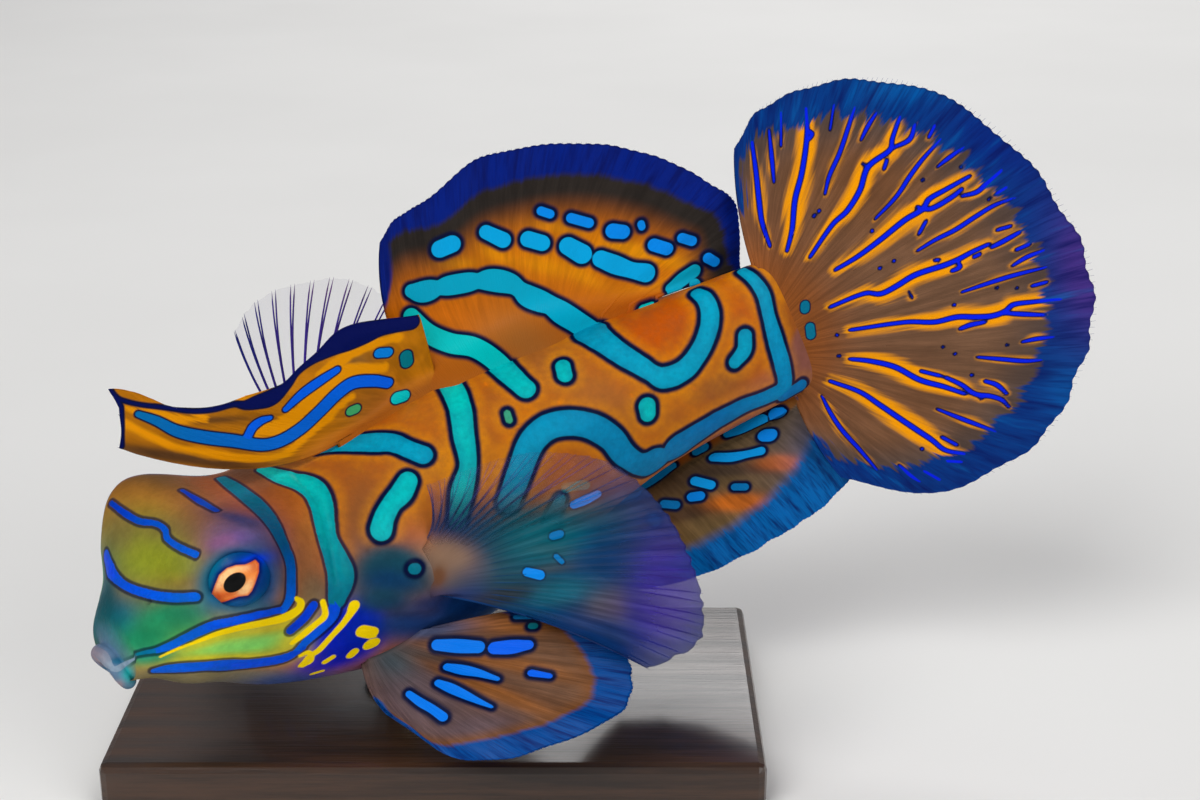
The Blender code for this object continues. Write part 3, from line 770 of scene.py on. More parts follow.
@dataclass
class BodyForm:
    """The body swept along its bent line, in millimetres, as the solids have it."""

    spine: tuple = ((0, -3.9, 41.4, 6.7), (8, 0.7, 41.4, -2.1), (14, 8, 35, 8), (20, 19, 25, 6),
                    (27, 25, 14, 3), (36, 25, 8, 1), (46.3, 25, 3, 0))
    girth: tuple = ((0.0, 1.51, -1.23, -3.51), (0.7, 2.78, 0.32, -3.14), (1.8, 3.79, 2.37, -3.24),
                    (3.4, 5.34, 4.22, -3.93), (5.5, 5.7, 5.85, -4.64), (8.5, 6.31, 6.25, -5.87),
                    (12.0, 7.0, 6.5, -6.6), (17.0, 7.3, 6.8, -7.5), (22.0, 6.9, 6.9, -8.0),
                    (27.0, 6.0, 6.7, -7.2), (32.0, 5.0, 6.1, -5.8), (36.5, 3.9, 5.4, -5.0),
                    (41.5, 2.8, 4.8, -4.7), (45.6, 1.65, 4.5, -4.6), (46.9, 0.85, 4.3, -4.4),
                    (47.8, 0.2, 3.5, -3.6))
    length: float = 46.3
    snout: tuple[float, float, float] = (-18.02, -13.12, 13.34)
    power: float = 2.25
    eye_station: float = 5.73
    eye_turn: float = 56.3
    eye_rise: float = 2.44
    eye_width: float = 3.48
    eye_lean: tuple[float, float, float] = (-0.255, 0.76, 0.535)
    fine: Array = field(init=False)
    angles: Array = field(init=False)
    backs: Array = field(init=False)
    line: Array = field(init=False)

    def __post_init__(self) -> None:
        """Add up the unit steps of pitch and yaw into the line."""
        self.fine = np.linspace(0, self.length, 464)
        self.angles = np.radians(smooth(self.fine, self.spine))
        pitch, yaw = self.angles[:, 0], self.angles[:, 1]
        self.backs = np.stack([np.cos(pitch) * np.cos(yaw), np.cos(pitch) * np.sin(yaw),
                               np.sin(pitch)], -1)
        self.line = np.zeros((len(self.fine), 3))
        step = self.fine[1] - self.fine[0]
        self.line[1:] = np.cumsum((self.backs[1:] + self.backs[:-1]) / 2 * step, 0)
        self.line += np.array(self.snout)

    def frame(self, s: Array | float) -> tuple[Array, Array, Array, Array]:
        """Centre and unit vectors to the back, left and up, rolled, at a station."""
        s = np.asarray(s, float)
        centre = np.stack([np.interp(s, self.fine, self.line[:, k]) for k in range(3)], -1)
        back = unit(np.stack([np.interp(s, self.fine, self.backs[:, k]) for k in range(3)], -1))
        roll = np.interp(s, self.fine, self.angles[:, 2])[..., None]
        left = unit(np.cross(np.array([0, 0, 1.0]), -back))
        up = np.cross(-back, left)
        centre = centre + (s - np.clip(s, 0, self.length))[..., None] * back
        return (centre, back, left * np.cos(roll) - up * np.sin(roll),
                up * np.cos(roll) + left * np.sin(roll))

    def place(self, s: Array | float, side: Array | float, up: Array | float) -> Array:
        """Place at a station, so far to the left and so far up."""
        c, _, lft, u = self.frame(s)
        return c + lft * np.asarray(side, float)[..., None] + u * np.asarray(up, float)[..., None]

    def plain(self, s: Array | float, turn: Array | float) -> Array:
        """Section of power 2.25 between flat and round, swept along the line."""
        s, turn = np.broadcast_arrays(np.asarray(s, float), np.asarray(turn, float))
        centre, _, left, up = self.frame(s)
        size = smooth(s, self.girth)
        half, tall = size[..., 0], 0.5 * (size[..., 1] - size[..., 2])
        centre = centre + up * (0.5 * (size[..., 1] + size[..., 2]))[..., None]
        r = ((np.abs(np.cos(turn)) / tall) ** self.power
             + (np.abs(np.sin(turn)) / half) ** self.power) ** (-1 / self.power)
        return centre + r[..., None] * (np.cos(turn)[..., None] * up
                                        + np.sin(turn)[..., None] * left)

    def eye_root(self, side: int) -> tuple[Array, Array]:
        """Place of the plain surface under an eye, and the way its swelling rises."""
        _, back, left, up = self.frame(self.eye_station)
        lean = back * self.eye_lean[0] + left * self.eye_lean[1] * side + up * self.eye_lean[2]
        return self.plain(self.eye_station, side * math.radians(self.eye_turn)), unit(lean)

    def skin(self, s: Array | float, turn: Array | float) -> Array:
        """The plain surface plus a bell-shaped rise round each eye."""
        point = self.plain(s, turn)
        lift = np.zeros_like(point)
        for side in (1, -1):
            root, lean = self.eye_root(side)
            far = np.linalg.norm(point - root, axis=-1)
            lift += lean * (self.eye_rise * np.exp(-(far / self.eye_width) ** 3))[..., None]
        return point + lift

    def normal(self, s: Array | float, turn: Array | float, step: float = 0.05) -> Array:
        """Outward unit normal: the cross product of the surface's two slopes."""
        s, turn = np.broadcast_arrays(np.asarray(s, float), np.asarray(turn, float))
        ds = self.skin(s + step, turn) - self.skin(s - step, turn)
        dt = self.skin(s, turn + 0.02) - self.skin(s, turn - 0.02)
        n = unit(np.cross(dt, ds))
        middle = smooth(s, self.girth)[..., 1:3].mean(-1)
        centre = self.frame(s)[0] + self.frame(s)[3] * middle[..., None]
        return n * np.sign(np.sum(n * (self.skin(s, turn) - centre), -1))[..., None]


FORM = BodyForm()


@dataclass
class EyePair:
    """Both eyes: balls half sunk in the head, each with a rim, an iris and a pupil."""

    radius: float = 2.0
    out: float = 0.7
    sink: float = -0.06
    gaze: tuple[float, float, float] = (-0.42, 0.88, -0.08)
    opening: float = 1.70
    pupil_at: tuple[float, float] = (234.7, 582.5)
    pupil_size: tuple[float, float] = (12.6, 8.6)
    pupil_tilt: float = 37.0
    iris: Points = ((211, 596), (214.5, 586), (219, 575), (226.8, 568), (236, 565), (245, 564.5),
                    (250, 562.5), (255.5, 559.5), (259, 563.6), (259, 571.8), (255.5, 582.7),
                    (252, 591), (248, 595.5), (239, 596.5), (233.6, 598.4), (225.5, 601.5),
                    (216, 604), (212, 600))

    def seat(self, side: int) -> tuple[Array, Array]:
        """Centre of a ball and the way it looks."""
        _, back, left, up = FORM.frame(FORM.eye_station)
        look = unit(back * self.gaze[0] + left * self.gaze[1] * side + up * self.gaze[2])
        root, lean = FORM.eye_root(side)
        return root + lean * self.sink + look * self.out, look

    def mirrored(self, places: Array) -> Array:
        """Places reflected in the head's middle plane at the eyes' station."""
        centre, _, left, _ = FORM.frame(FORM.eye_station)
        off = (places - centre) @ left
        return places - 2 * off[:, None] * left

    def build(self) -> None:
        """Ball from rings about the way it looks; the iris is sunk and the pupil domed.

        Ring angle runs evenly from front to back and turn round the axis; the radius gains a
        dome over the pupil and loses a ditch round it.
        """
        centre, look = self.seat(1)
        across = unit(np.cross(LENS.up, look))
        rise = np.cross(look, across)
        rings, sides = 72, 96
        tilt = np.linspace(0, math.pi, rings)[1:-1]
        round_ = np.linspace(0, 2 * math.pi, sides, endpoint=False)
        way = (np.cos(tilt)[:, None, None] * look
               + np.sin(tilt)[:, None, None] * (np.cos(round_)[None, :, None] * across
                                                + np.sin(round_)[None, :, None] * rise))
        places = np.concatenate([way.reshape(-1, 3), [look, -look]])
        flat = centre + places * self.radius
        spots = LENS.project(flat)
        scale = float(LENS.scale(centre))
        front = (places @ LENS.toward) > -0.1
        iris = np.where(front, outline_distance(spots, self.iris) / scale, AWAY)
        a = math.radians(self.pupil_tilt)
        dx, dy = spots[:, 0] - self.pupil_at[0], spots[:, 1] - self.pupil_at[1]
        x, y = dx * math.cos(a) - dy * math.sin(a), dx * math.sin(a) + dy * math.cos(a)
        oval = np.hypot(x / self.pupil_size[0], y / self.pupil_size[1])
        pupil = np.where(front, (oval - 1) * min(self.pupil_size) / scale, AWAY)
        lift = 0.05 * ease(-pupil, -0.02, 0.5) - 0.05 * ease(-iris, -0.02, 0.12) * ease(
            pupil, -0.02, 0.1)
        places = centre + places * (self.radius + lift)[:, None]
        faces = grid_faces(rings - 2, sides, True)
        first, last = len(places) - 2, len(places) - 1
        j = np.arange(sides)
        k = (j + 1) % sides
        caps = np.concatenate([np.stack([k, j, np.full(sides, first)], -1),
                               np.stack([(rings - 3) * sides + j, (rings - 3) * sides + k,
                                         np.full(sides, last)], -1)])
        ground = wash(spots, Ink.TEAL.linear, EYE_RING)
        fire = wash(spots, Ink.IRIS.linear, FLAMES)
        numbers = {"iris": iris, "pupil": pupil, "ground": ground, "fire": fire}
        material = EyeFinish().build()
        for side, name in ((1, "eye_left"), (-1, "eye_right")):
            where = places if side == 1 else self.mirrored(places)
            quads = outward(where, faces)
            tris = caps if quads is faces else caps[:, ::-1]
            thing = add_mesh(name + "_ball", where, quads.tolist() + tris.tolist(), numbers,
                             material)
            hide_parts(name)
            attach(thing, "root")
            LOG.info("%s: %d points", thing.name, len(where))


def outline_distance(spots: Array, outline: Points) -> Array:
    """Distance from a closed outline, negative inside: feet on the legs and a crossing count."""
    loop = np.array(outline, float)
    a, b = loop, np.roll(loop, -1, 0)
    leg = b - a
    rel = spots[:, None] - a[None]
    t = np.clip((rel * leg).sum(-1) / (leg**2).sum(-1), 0, 1)
    far = np.linalg.norm(rel - t[..., None] * leg, axis=-1).min(1)
    x, y = spots[:, 0:1], spots[:, 1:2]
    spans = (a[:, 1] > y) != (b[:, 1] > y)
    cut = a[:, 0] + (y - a[:, 1]) / np.where(leg[:, 1] == 0, 1e-9, leg[:, 1]) * leg[:, 0]
    inside = (spans & (x < cut)).sum(1) % 2 == 1
    return np.where(inside, -far, far)


EYES = EyePair()
FLAMES = (
    Patch((224, 576), (19, 6), Ink.IRIS_LIGHT, 1.0, 52, 4),
    Patch((240, 568), (14, 4), Ink.IRIS_LIGHT, 0.8, 8, 4),
    Patch((246, 589), (11, 6), Ink.IRIS_LIGHT, 1.0, 42, 4),
    Patch((254, 566), (5, 6), Ink.IRIS_DEEP, 0.6, 20, 3),
    Patch((216, 598), (7, 6), Ink.IRIS_DEEP, 0.8, 0, 3),
    Patch((230, 595), (9, 3), Ink.IRIS_DEEP, 0.5, 10, 3),
)
EYE_RING = (
    Patch((236, 583), (39, 35), Ink.TEAL, 1.0, 0, 9),
    Patch((246, 556), (26, 10), Ink.DEEP_BLUE, 0.85, 0, 3),
    Patch((266, 580), (11, 26), Ink.DEEP_BLUE, 0.8, 0, 3),
    Patch((232, 609), (22, 5), Ink.SLATE, 0.7, 5, 3),
    Patch((238, 583), (29, 24), Ink.RING_BLUE, 0.95, 30, 6),
    Patch((252, 562), (15, 6), Ink.ROYAL, 0.9, 20, 4),
    Patch((226, 603), (14, 4), Ink.BAND_BLUE, 0.6, 5, 3),
)


BODY_PATCHES = (
    Patch((500, 325), (54, 24), Ink.BODY_TAN, 0.9, -25),
    Patch((590, 388), (80, 20), Ink.BODY_TAN, 0.6, -25),
    Patch((660, 330), (48, 36), Ink.BODY_RED, 0.85, 0, 4),
    Patch((722, 386), (34, 15), Ink.BROWN, 0.8, 25),
    Patch((752, 320), (16, 30), Ink.BODY_RED, 0.6, 10),
    Patch((430, 400), (36, 26), Ink.TAN, 0.5, 0),
    Patch((420, 470), (30, 20), Ink.BODY_TAN, 0.5, 0),
    Patch((600, 480), (50, 18), Ink.BODY_TAN, 0.5, 0),
    Patch((800, 350), (16, 60), Ink.TAIL_ROOT, 0.9, 12, 4),
    Patch((720, 450), (92, 9), Ink.OLIVE, 0.95, 33, 4),
)

HEAD_PATCHES = (
    # Crown: dark brown that is partly the crown's own colour and partly painted shade under the
    # first dorsal fin; the umber patch darkens it further towards the top-left rim.
    Patch((205, 466), (90, 26), Ink.CROWN, 0.95, 0, 4),
    Patch((158, 474), (64, 16), Ink.UMBER, 0.7, 0, 3),
    Patch((212, 487), (26, 9), Ink.BURNT, 0.8, -20),
    Patch((240, 506), (34, 11), Ink.BURNT, 1.0, -38, 4),
    Patch((140, 505), (30, 22), Ink.TAN, 0.7),
    Patch((140, 552), (50, 40), Ink.LIME, 1.0, 0, 4),
    Patch((120, 530), (16, 24), Ink.OLIVE, 0.6, 0, 4),
    Patch((160, 528), (34, 16), Ink.OLIVE, 0.6),
    Patch((150, 618), (60, 26), Ink.MOSS, 0.9, 0, 4),
    Patch((170, 632), (38, 20), Ink.GREEN, 0.95, 20, 4),
    Patch((112, 625), (28, 28), Ink.SNOUT_BLUE, 1.0, 0, 4),
    Patch((128, 640), (24, 14), Ink.TEAL, 0.85, 0, 4),
    Patch((102, 594), (16, 44), Ink.DEEP_TEAL, 0.95, 0, 4),
    Patch((178, 562), (22, 16), Ink.LIME, 0.8, 0, 4),
    Patch((168, 620), (40, 17), Ink.GREEN, 0.95, 18, 4),
    Patch((240, 541), (36, 22), Ink.DUSK, 0.85, -20, 4),
    Patch((226, 540), (18, 9), Ink.PURPLE, 0.95, 10, 4),
    Patch((246, 535), (14, 8), Ink.VIOLET_GREY, 0.9, -10, 4),
    # Painted shade: a soft dark-blue line in the crease along the top of the eye's swelling.
    Patch((240, 519), (28, 5.5), Ink.DEEP_BLUE, 0.8, -14, 3),
    Patch((264, 560), (16, 34), Ink.DUSK, 0.75, 12, 4),
    # Painted shadow in the crease round the eye's swelling: a dark strip along its right side and a
    # near-black one below it.
    Patch((281, 572), (5, 34), Ink.UMBER, 0.9, 8, 4),
    Patch((274, 607), (20, 5), Ink.OUTLINE, 0.85, 14, 4),
    Patch((279, 594), (8, 8), Ink.TAN, 0.5),
    Patch((306, 545), (15, 56), Ink.TAN, 0.9, -14, 4),
    Patch((313, 592), (13, 20), Ink.OLIVE, 0.7, 0, 4),
    Patch((365, 520), (26, 44), Ink.BROWN, 0.75, 0, 4),
    Patch((404, 545), (26, 12), Ink.BURNT, 0.6, 30, 3),
    Patch((390, 572), (38, 25), Ink.OPERCLE, 1.0, 0, 5),
    Patch((396, 566), (22, 14), Ink.DEEP_TEAL, 0.9, 0, 3),
    Patch((425, 600), (90, 34), Ink.DEEP_TEAL, 0.85, 0, 5),
    Patch((450, 622), (90, 22), Ink.MARGIN_SEA, 0.75, 0, 5),
    Patch((422, 605), (22, 13), Ink.PEACH, 0.8, 10, 5),
    Patch((376, 608), (22, 9), Ink.BROWN, 0.6, -10, 4),
    Patch((392, 606), (20, 10), Ink.UMBER, 0.4, 0, 4),
    Patch((450, 556), (30, 22), Ink.PEACH, 0.9, 15, 4),
    Patch((476, 578), (26, 20), Ink.OPERCLE, 0.6, 0, 4),
    Patch((225, 644), (78, 15), Ink.GRASS, 1.0, 5, 5),
    Patch((240, 644), (50, 9), Ink.LEAF, 0.95, 8, 4),
    Patch((266, 628), (40, 6), Ink.SUN, 0.9, 12, 3),
    Patch((205, 642), (42, 5), Ink.SUN, 0.75, 20, 3),
    Patch((225, 658), (66, 4.5), Ink.SUN, 0.8, 2, 3),
    Patch((292, 640), (18, 10), Ink.SUN, 0.8, 40, 3),
    Patch((150, 656), (26, 9), Ink.GREEN, 0.9, 8, 5),
    Patch((146, 652), (12, 6), Ink.TURQUOISE, 0.4, 8, 4),
    Patch((146, 640), (26, 12), Ink.GREEN, 0.85, 8, 4),
    Patch((205, 678), (110, 11), Ink.CHIN, 0.95, 0, 6),
    Patch((290, 684), (50, 12), Ink.MARGIN_SEA, 0.8, 6, 4),
    Patch((350, 632), (40, 30), Ink.THROAT, 1.0, 30, 9),
    Patch((330, 658), (34, 12), Ink.THROAT, 0.9, 20, 6),
    Patch((395, 568), (30, 22), Ink.OPERCLE, 0.95, 0, 6),
    Patch((388, 582), (26, 12), Ink.DEEP_BLUE, 0.6, 0, 4),
    # Painted shadow on the low flank under the left pectoral fin.
    Patch((450, 612), (84, 16), Ink.DEEP_BLUE, 0.9, 14, 5),
    Patch((382, 600), (26, 12), Ink.OPERCLE, 0.9, 0, 4),
    Patch((430, 600), (17, 13), Ink.MAUVE, 0.9, 10, 6),
    Patch((438, 577), (8, 11), Ink.BROWN, 0.8, -20, 5),
    # Painted shadow on the low flank under the left pectoral fin.
    Patch((490, 600), (84, 14), Ink.DEEP_BLUE, 0.9, 4, 5),
) + EYE_RING

BANDS = (
    Stroke(((412, 291), (421, 292), (431, 290), (438, 288), (447, 286), (458, 284), (470, 282),
            (478, 281), (488, 280), (499, 281), (511, 284), (519, 289), (528, 296), (540, 301),
            (550, 305), (562, 313), (578, 323), (599, 338), (621, 354), (641, 366), (652, 373),
            (663, 378), (683, 371), (699, 352), (708, 331), (710, 312), (705, 299), (697, 293)),
           (13, 21, 20, 14, 19, 20, 19, 15, 21, 23, 20, 16, 22, 22, 19, 23, 22, 23, 21, 19, 17, 21,
            20, 18, 18, 18, 16, 11), Ink.CYAN),
    Stroke(((411, 316), (428, 333), (450, 343), (473, 347), (492, 358), (509, 374), (526, 389)),
           (16, 19, 20, 20, 20, 20, 19), Ink.TURQUOISE),
    Stroke(((438, 370), (451, 386), (460, 408), (464, 436), (468, 465), (462, 493), (457, 524)),
           (14, 22, 22, 21, 17, 22, 15), Ink.AQUA, Ink.TURQUOISE),
    Stroke(((509, 501), (519, 474), (532, 442), (549, 427), (571, 423), (593, 427), (611, 438),
            (625, 455), (641, 464), (661, 460), (689, 440), (717, 421)),
           (22, 24, 26, 26, 25, 26, 25, 24, 20, 19, 17, 15), Ink.CYAN, Ink.BAND_BLUE),
    Stroke(((717, 421), (745, 406), (768, 397), (784, 387), (783, 366), (776, 341), (769, 316),
            (763, 293), (753, 279), (742, 271)), (15, 13, 12, 13, 15, 15, 12, 13, 11, 8),
           Ink.BAND_BLUE, Ink.CYAN),
    Stroke(((785, 396), (801, 386)), (8, 9), Ink.BAND_BLUE),
    Stroke(((563, 366), (565, 375)), 15, Ink.TURQUOISE),
    Stroke(((647, 406), (648, 414)), (17, 15), Ink.TURQUOISE),
    Stroke(((507, 413), (509, 420)), 7, Ink.GREEN_SPOT),
    Stroke(((745, 336), (744, 350), (735, 362)), (13, 14, 12), Ink.CYAN),
    Stroke(((408, 481), (402, 492), (392, 503), (385, 516), (381, 530)), (19, 22, 19, 20, 22),
           Ink.TURQUOISE),
    Stroke(((318, 452), (335, 446), (354, 443), (377, 442), (394, 443), (408, 449), (423, 455)),
           (3, 10, 15, 18, 17, 17, 18), Ink.CYAN),
    Stroke(((262, 469), (283, 477), (303, 483), (314, 490), (321, 503), (324, 520), (328, 540),
            (335, 557), (341, 577), (337, 600)), (6, 13, 17, 22, 23, 21, 19, 23, 27, 17),
           Ink.AQUA, Ink.TEAL),
    Stroke(((336, 600), (332, 615), (321, 628), (308, 640), (297, 651)), (12, 12, 10, 8, 6),
           Ink.ROYAL, Ink.LINE_BLUE),
)

HEAD_LINES = (
    Stroke(((111, 503), (126, 514), (139, 521), (157, 524), (165, 530), (167, 538), (177, 546),
            (197, 555)), (6, 7, 7, 6, 6, 6, 7, 7.5), Ink.THROAT, Ink.LINE_BLUE),
    Stroke(((106, 556), (112, 573), (126, 586), (149, 594), (172, 597.5), (196, 597)),
           (7, 8, 9, 9.5, 9.5, 9), Ink.ROYAL, Ink.LINE_BLUE),
    Stroke(((182, 490), (198, 500), (217, 511)), (2.5, 4, 3), Ink.THROAT),
    Stroke(((221, 478), (240, 491), (259, 507), (273, 524), (284, 545)), (5, 9, 10.5, 10.5, 10),
           Ink.TEAL, Ink.BLUE_TEAL),
    Stroke(((284, 545), (290, 562), (291, 582), (290, 598), (284, 609)), (10, 9.5, 9, 9, 7),
           Ink.BLUE_TEAL, Ink.LINE_BLUE),
    Stroke(((280, 610), (264, 614), (239, 620), (213, 626), (188, 637), (170, 646), (156, 651)),
           (6, 7, 9, 9.5, 9, 8, 5), Ink.ROYAL, Ink.LINE_BLUE),
    Stroke(((156, 651), (143, 653), (134, 655)), (4.5, 4, 3), Ink.BAND_BLUE, Ink.TEAL),
    Stroke(((154, 671), (170, 669), (213, 666), (250, 664), (285, 658), (303, 648)),
           (4, 8, 9, 8.5, 8, 5), Ink.LINE_BLUE, Ink.ROYAL),
    Stroke(((313, 606), (304, 618), (291, 630)), (9, 9, 8), Ink.ROYAL, Ink.TAIL_LINE),
    Stroke(((414, 569), (416, 569)), 11, Ink.TEAL),
)

LIGHT_LINES = (
    Stroke(((160, 657), (175, 650), (196, 642), (220, 633), (248, 626), (268, 622), (286, 617),
            (298, 610), (301, 603), (296, 598)), (1.5, 2.5, 3.5, 5, 6, 6.5, 7.5, 8, 7, 4)),
    Stroke(((323, 602), (325, 615), (316, 624), (304, 634), (292, 643)), (6, 6.5, 6, 6, 4)),
    Stroke(((354, 606), (350, 614), (342, 625), (329, 639), (319, 650), (309, 657), (300, 666)),
           (11, 7, 6, 5.5, 5, 4, 3)),
    Stroke(((362, 631), (372, 633)), (12, 12)),
    Stroke(((369, 645), (374, 643)), 8),
    Stroke(((351, 655), (354, 652)), 6),
    Stroke(((300, 656), (309, 652), (312, 660), (303, 666)), (3, 3.5, 3.5, 3)),
    Stroke(((325, 662), (333, 657)), 4),
    Stroke(((312, 674), (322, 671)), 3),
)

PORES = ((290, 549), (318, 532), (338, 507), (393, 452), (486, 384), (560, 402), (632, 396),
         (694, 388))

CREASES = (
    Stroke(((372, 549), (398, 549), (416, 558), (425, 572), (430, 588), (441, 600), (438, 612),
            (420, 618), (392, 618), (366, 612)), 4),
    Stroke(((130, 655), (141, 653), (152, 651)), 3),
    Stroke(((296, 474), (318, 500), (330, 540), (338, 580)), 2),
)


@dataclass
class Skin:
    """One skin over head, trunk and tail stalk, with lips, mouth, nostrils and eye rims."""

    columns: int = 268
    head_rows: int = 128
    trunk_rows: int = 198
    lip_start: float = 0.55
    lip_angle: float = 35.0
    lip_size: tuple[float, float] = (1.42, 0.85)
    lip_thick: float = 0.5
    mouth_depth: float = 1.0
    lobe_rise: float = 0.75
    lobe_width: float = 2.1

    def mouth_frame(self) -> tuple[Array, Array, Array, Array]:
        """Centre of the mouth and unit vectors out of it, to the left and up."""
        _, back, left, up = FORM.frame(0.0)
        a = math.radians(self.lip_angle)
        aim = -back * math.cos(a) - up * math.sin(a)
        rise = np.cross(aim, left)
        return FORM.place(0.2, 0.0, -2.5) - aim * 0.45 - rise * 0.5, aim, left, rise

    def lips(self, turn: Array) -> tuple[Array, Array]:
        """Rows from inside the mouth over the lips, and how far each is lip.

        A ring half as high again as wide carries a round tube, read from inside round its
        front to its outer side; before it the rows close in on the mouth's floor.
        """
        centre, aim, left, rise = self.mouth_frame()
        c, s = np.sin(turn)[:, None], np.cos(turn)[:, None]
        wide, tall = self.lip_size
        ring = centre + aim * (0.3 + 0.12 * np.cos(2 * turn)[:, None] * -1) + left * c * wide + (
            rise * s * tall)
        outer = unit(left * c * tall + rise * s * wide)
        thick = self.lip_thick * (1 + 0.12 * s - 0.1 * np.abs(c) ** 6)
        psi = np.radians(np.linspace(205, -48, 20))[:, None, None]
        tube = ring + thick * (np.cos(psi) * outer + np.sin(psi) * aim)
        floor = centre - aim * self.mouth_depth
        share = np.linspace(0.06, 0.94, 7)[:, None, None]
        inner = floor + (tube[0] - floor) * share + aim * 0.25 * share * (1 - share)
        grid = np.concatenate([inner, tube])
        lip = np.concatenate([np.full(7, -1.0), ease(np.linspace(205, -48, 20), 200, 150)])
        return grid, np.repeat(lip[:, None], len(turn), 1)

    def grid(self) -> tuple[Array, Array, Array]:
        """All rows: mouth, lips, a short bridge and the stations of the body.

        Returns:
            Places (rows, columns, 3), stations (rows) and lip values (rows, columns).
        """
        turn = np.linspace(0, 2 * math.pi, self.columns, endpoint=False)
        front, lip = self.lips(turn)
        stations = np.concatenate([
            self.lip_start + (13 - self.lip_start) * np.linspace(0, 1, self.head_rows) ** 1.15,
            np.linspace(13, 47.8, self.trunk_rows + 1)[1:]])
        body = FORM.skin(stations[:, None], turn[None, :])
        share = np.linspace(0, 1, 8)[1:-1, None, None]
        bridge = front[-1] * (1 - share) + body[0] * share
        grid = np.concatenate([front, bridge, body])
        fade = np.linspace(0.75, 0.0, 6)[:, None] * np.ones(len(turn))
        lip = np.concatenate([lip, fade, np.zeros(body.shape[:2])])
        station = np.concatenate([np.linspace(-1.5, self.lip_start, len(front) + 6,
                                              endpoint=False), stations])
        return grid, station, lip

    def swell(self, grid: Array) -> Array:
        """Fleshy lobes at the breast fins' roots: a bell-shaped rise along the normal."""
        for s, turn in ((19.2, 80.0), (17.3, -80.0)):
            root = FORM.skin(s, math.radians(turn))
            out = FORM.normal(s, math.radians(turn))
            far = np.linalg.norm(grid - root, axis=-1)
            grid = grid + out * (self.lobe_rise * np.exp(-(far / self.lobe_width) ** 3))[..., None]
        return grid

    def rim(self, grid: Array) -> Array:
        """Flesh round each eyeball.

        Within the opening the skin dips under the ball; beyond it a low rim stands on the
        ball's height at the opening and fades into the swelling.
        """
        for side in (1, -1):
            centre, look = EYES.seat(side)
            rel = grid - centre
            high = rel @ look
            far = np.linalg.norm(rel - high[..., None] * look, axis=-1)
            brim = math.sqrt(EYES.radius**2 - EYES.opening**2)
            want = np.where(far < EYES.opening, brim - (EYES.opening - far) * 0.9,
                            brim + 0.09 * np.sin(np.clip((far - EYES.opening) / 0.42, 0, 1)
                                                 * math.pi) - 0.1 * (far - EYES.opening))
            share = (1 - ease(far, EYES.opening + 0.12, EYES.opening + 1.15)) * (high > -0.8)
            grid = grid + look * ((want - high) * share)[..., None]
        return grid

    def normals(self, grid: Array) -> Array:
        """Unit normals of the wrapped grid: cross product of its two differences."""
        across = np.roll(grid, -1, 1) - np.roll(grid, 1, 1)
        along = np.gradient(grid, axis=0)
        n = unit(np.cross(across, along))
        middle = grid.mean(1, keepdims=True)
        return n * np.sign(np.sum(n * (grid - middle), -1).mean())

    def build(self) -> None:
        """Lay every mark on the grid, press in the creases, and make the mesh."""
        plain, station, lip = self.grid()
        grid = self.rim(self.swell(plain))
        rows, columns = grid.shape[:2]
        mirror = np.roll(grid[:, ::-1], 1, axis=1)
        canvas = Canvas(grid, wrap=True)
        flat, other = grid.reshape(-1, 3), mirror.reshape(-1, 3)
        normal = self.normals(grid)
        turn = np.broadcast_to(np.linspace(0, 360, columns, endpoint=False), (rows, columns))
        facing = np.sum(normal * unit(LENS.eye - grid), -1)
        hidden = ((turn > 180) & (facing < 0.12)).ravel()

        def both(strokes: tuple[Stroke, ...], start: tuple | None = None) -> tuple:
            found = reach(flat, canvas.lay(strokes), start)
            return reach(flat, canvas.lay(strokes, other), found, hidden)

        mark, ink = both(BANDS + HEAD_LINES + LIP_LINES + self.belly_strokes())
        light, _ = both(LIGHT_LINES)
        crease, _ = both(CREASES)
        pore, _ = both(tuple(Stroke((spot,), 2.0) for spot in PORES))
        nose, _ = both((Stroke(((149.5, 601.5),), 2.0),))
        depth = (0.10 * np.exp(-(np.maximum(crease, 0) / 0.2) ** 2)
                 + 0.05 * np.exp(-(np.maximum(pore, 0) / 0.1) ** 2)
                 + 0.16 * np.exp(-(np.maximum(nose, 0) / 0.12) ** 2)
                 - 0.12 * np.exp(-((nose - 0.24) / 0.12) ** 2))
        grid = grid - normal * depth.reshape(rows, columns)[..., None]

        spots = LENS.project(plain)
        far_side = ((turn > 180) * (1 - ease(facing, 0.0, 0.22)))[..., None]
        ground = wash(spots, Ink.GROUND.linear, BODY_PATCHES + HEAD_PATCHES)
        ground = ground * (1 - far_side) + far_side * wash(
            LENS.project(mirror), Ink.GROUND.linear, BODY_PATCHES + HEAD_PATCHES)
        head = ease(np.broadcast_to(station[:, None], (rows, columns)), 15.5, 10.5)
        folded = np.minimum(turn, 360 - turn)
        under = ease(folded, 118, 146) * (1 - 0.75 * ease(station, 27, 33))[:, None]
        under = under * (1 - 0.8 * head)
        ground = ground * (1 - under[..., None]) + Ink.BELLY.linear * under[..., None]
        lips = np.clip(lip, 0, 1)[..., None]
        flesh = wash(spots, Ink.LIP_SHADE.linear, LIP_PATCHES)
        ground = ground * (1 - lips) + flesh * lips
        # Painted shade: the rows inside the mouth are painted near-black, standing in for the
        # shaded hollow behind the lips.
        dark = np.clip(-lip, 0, 1)[..., None]
        ground = ground * (1 - dark) + Ink.MOUTH_SHADE.linear * dark
        head = np.maximum(head, np.maximum(lips[..., 0], under))
        warm = np.clip((ground[..., 0] - 1.6 * ground[..., 2]) / (ground[..., 0] + 0.01), 0, 1)
        warm = (warm * (1 - head))[..., None]
        shade = ground * (0.64 - 0.22 * warm) + Ink.BROWN.linear * 0.5 * warm
        glow = ground * 1.05 * (1 - warm) + Ink.AMBER.linear * 0.9 * warm
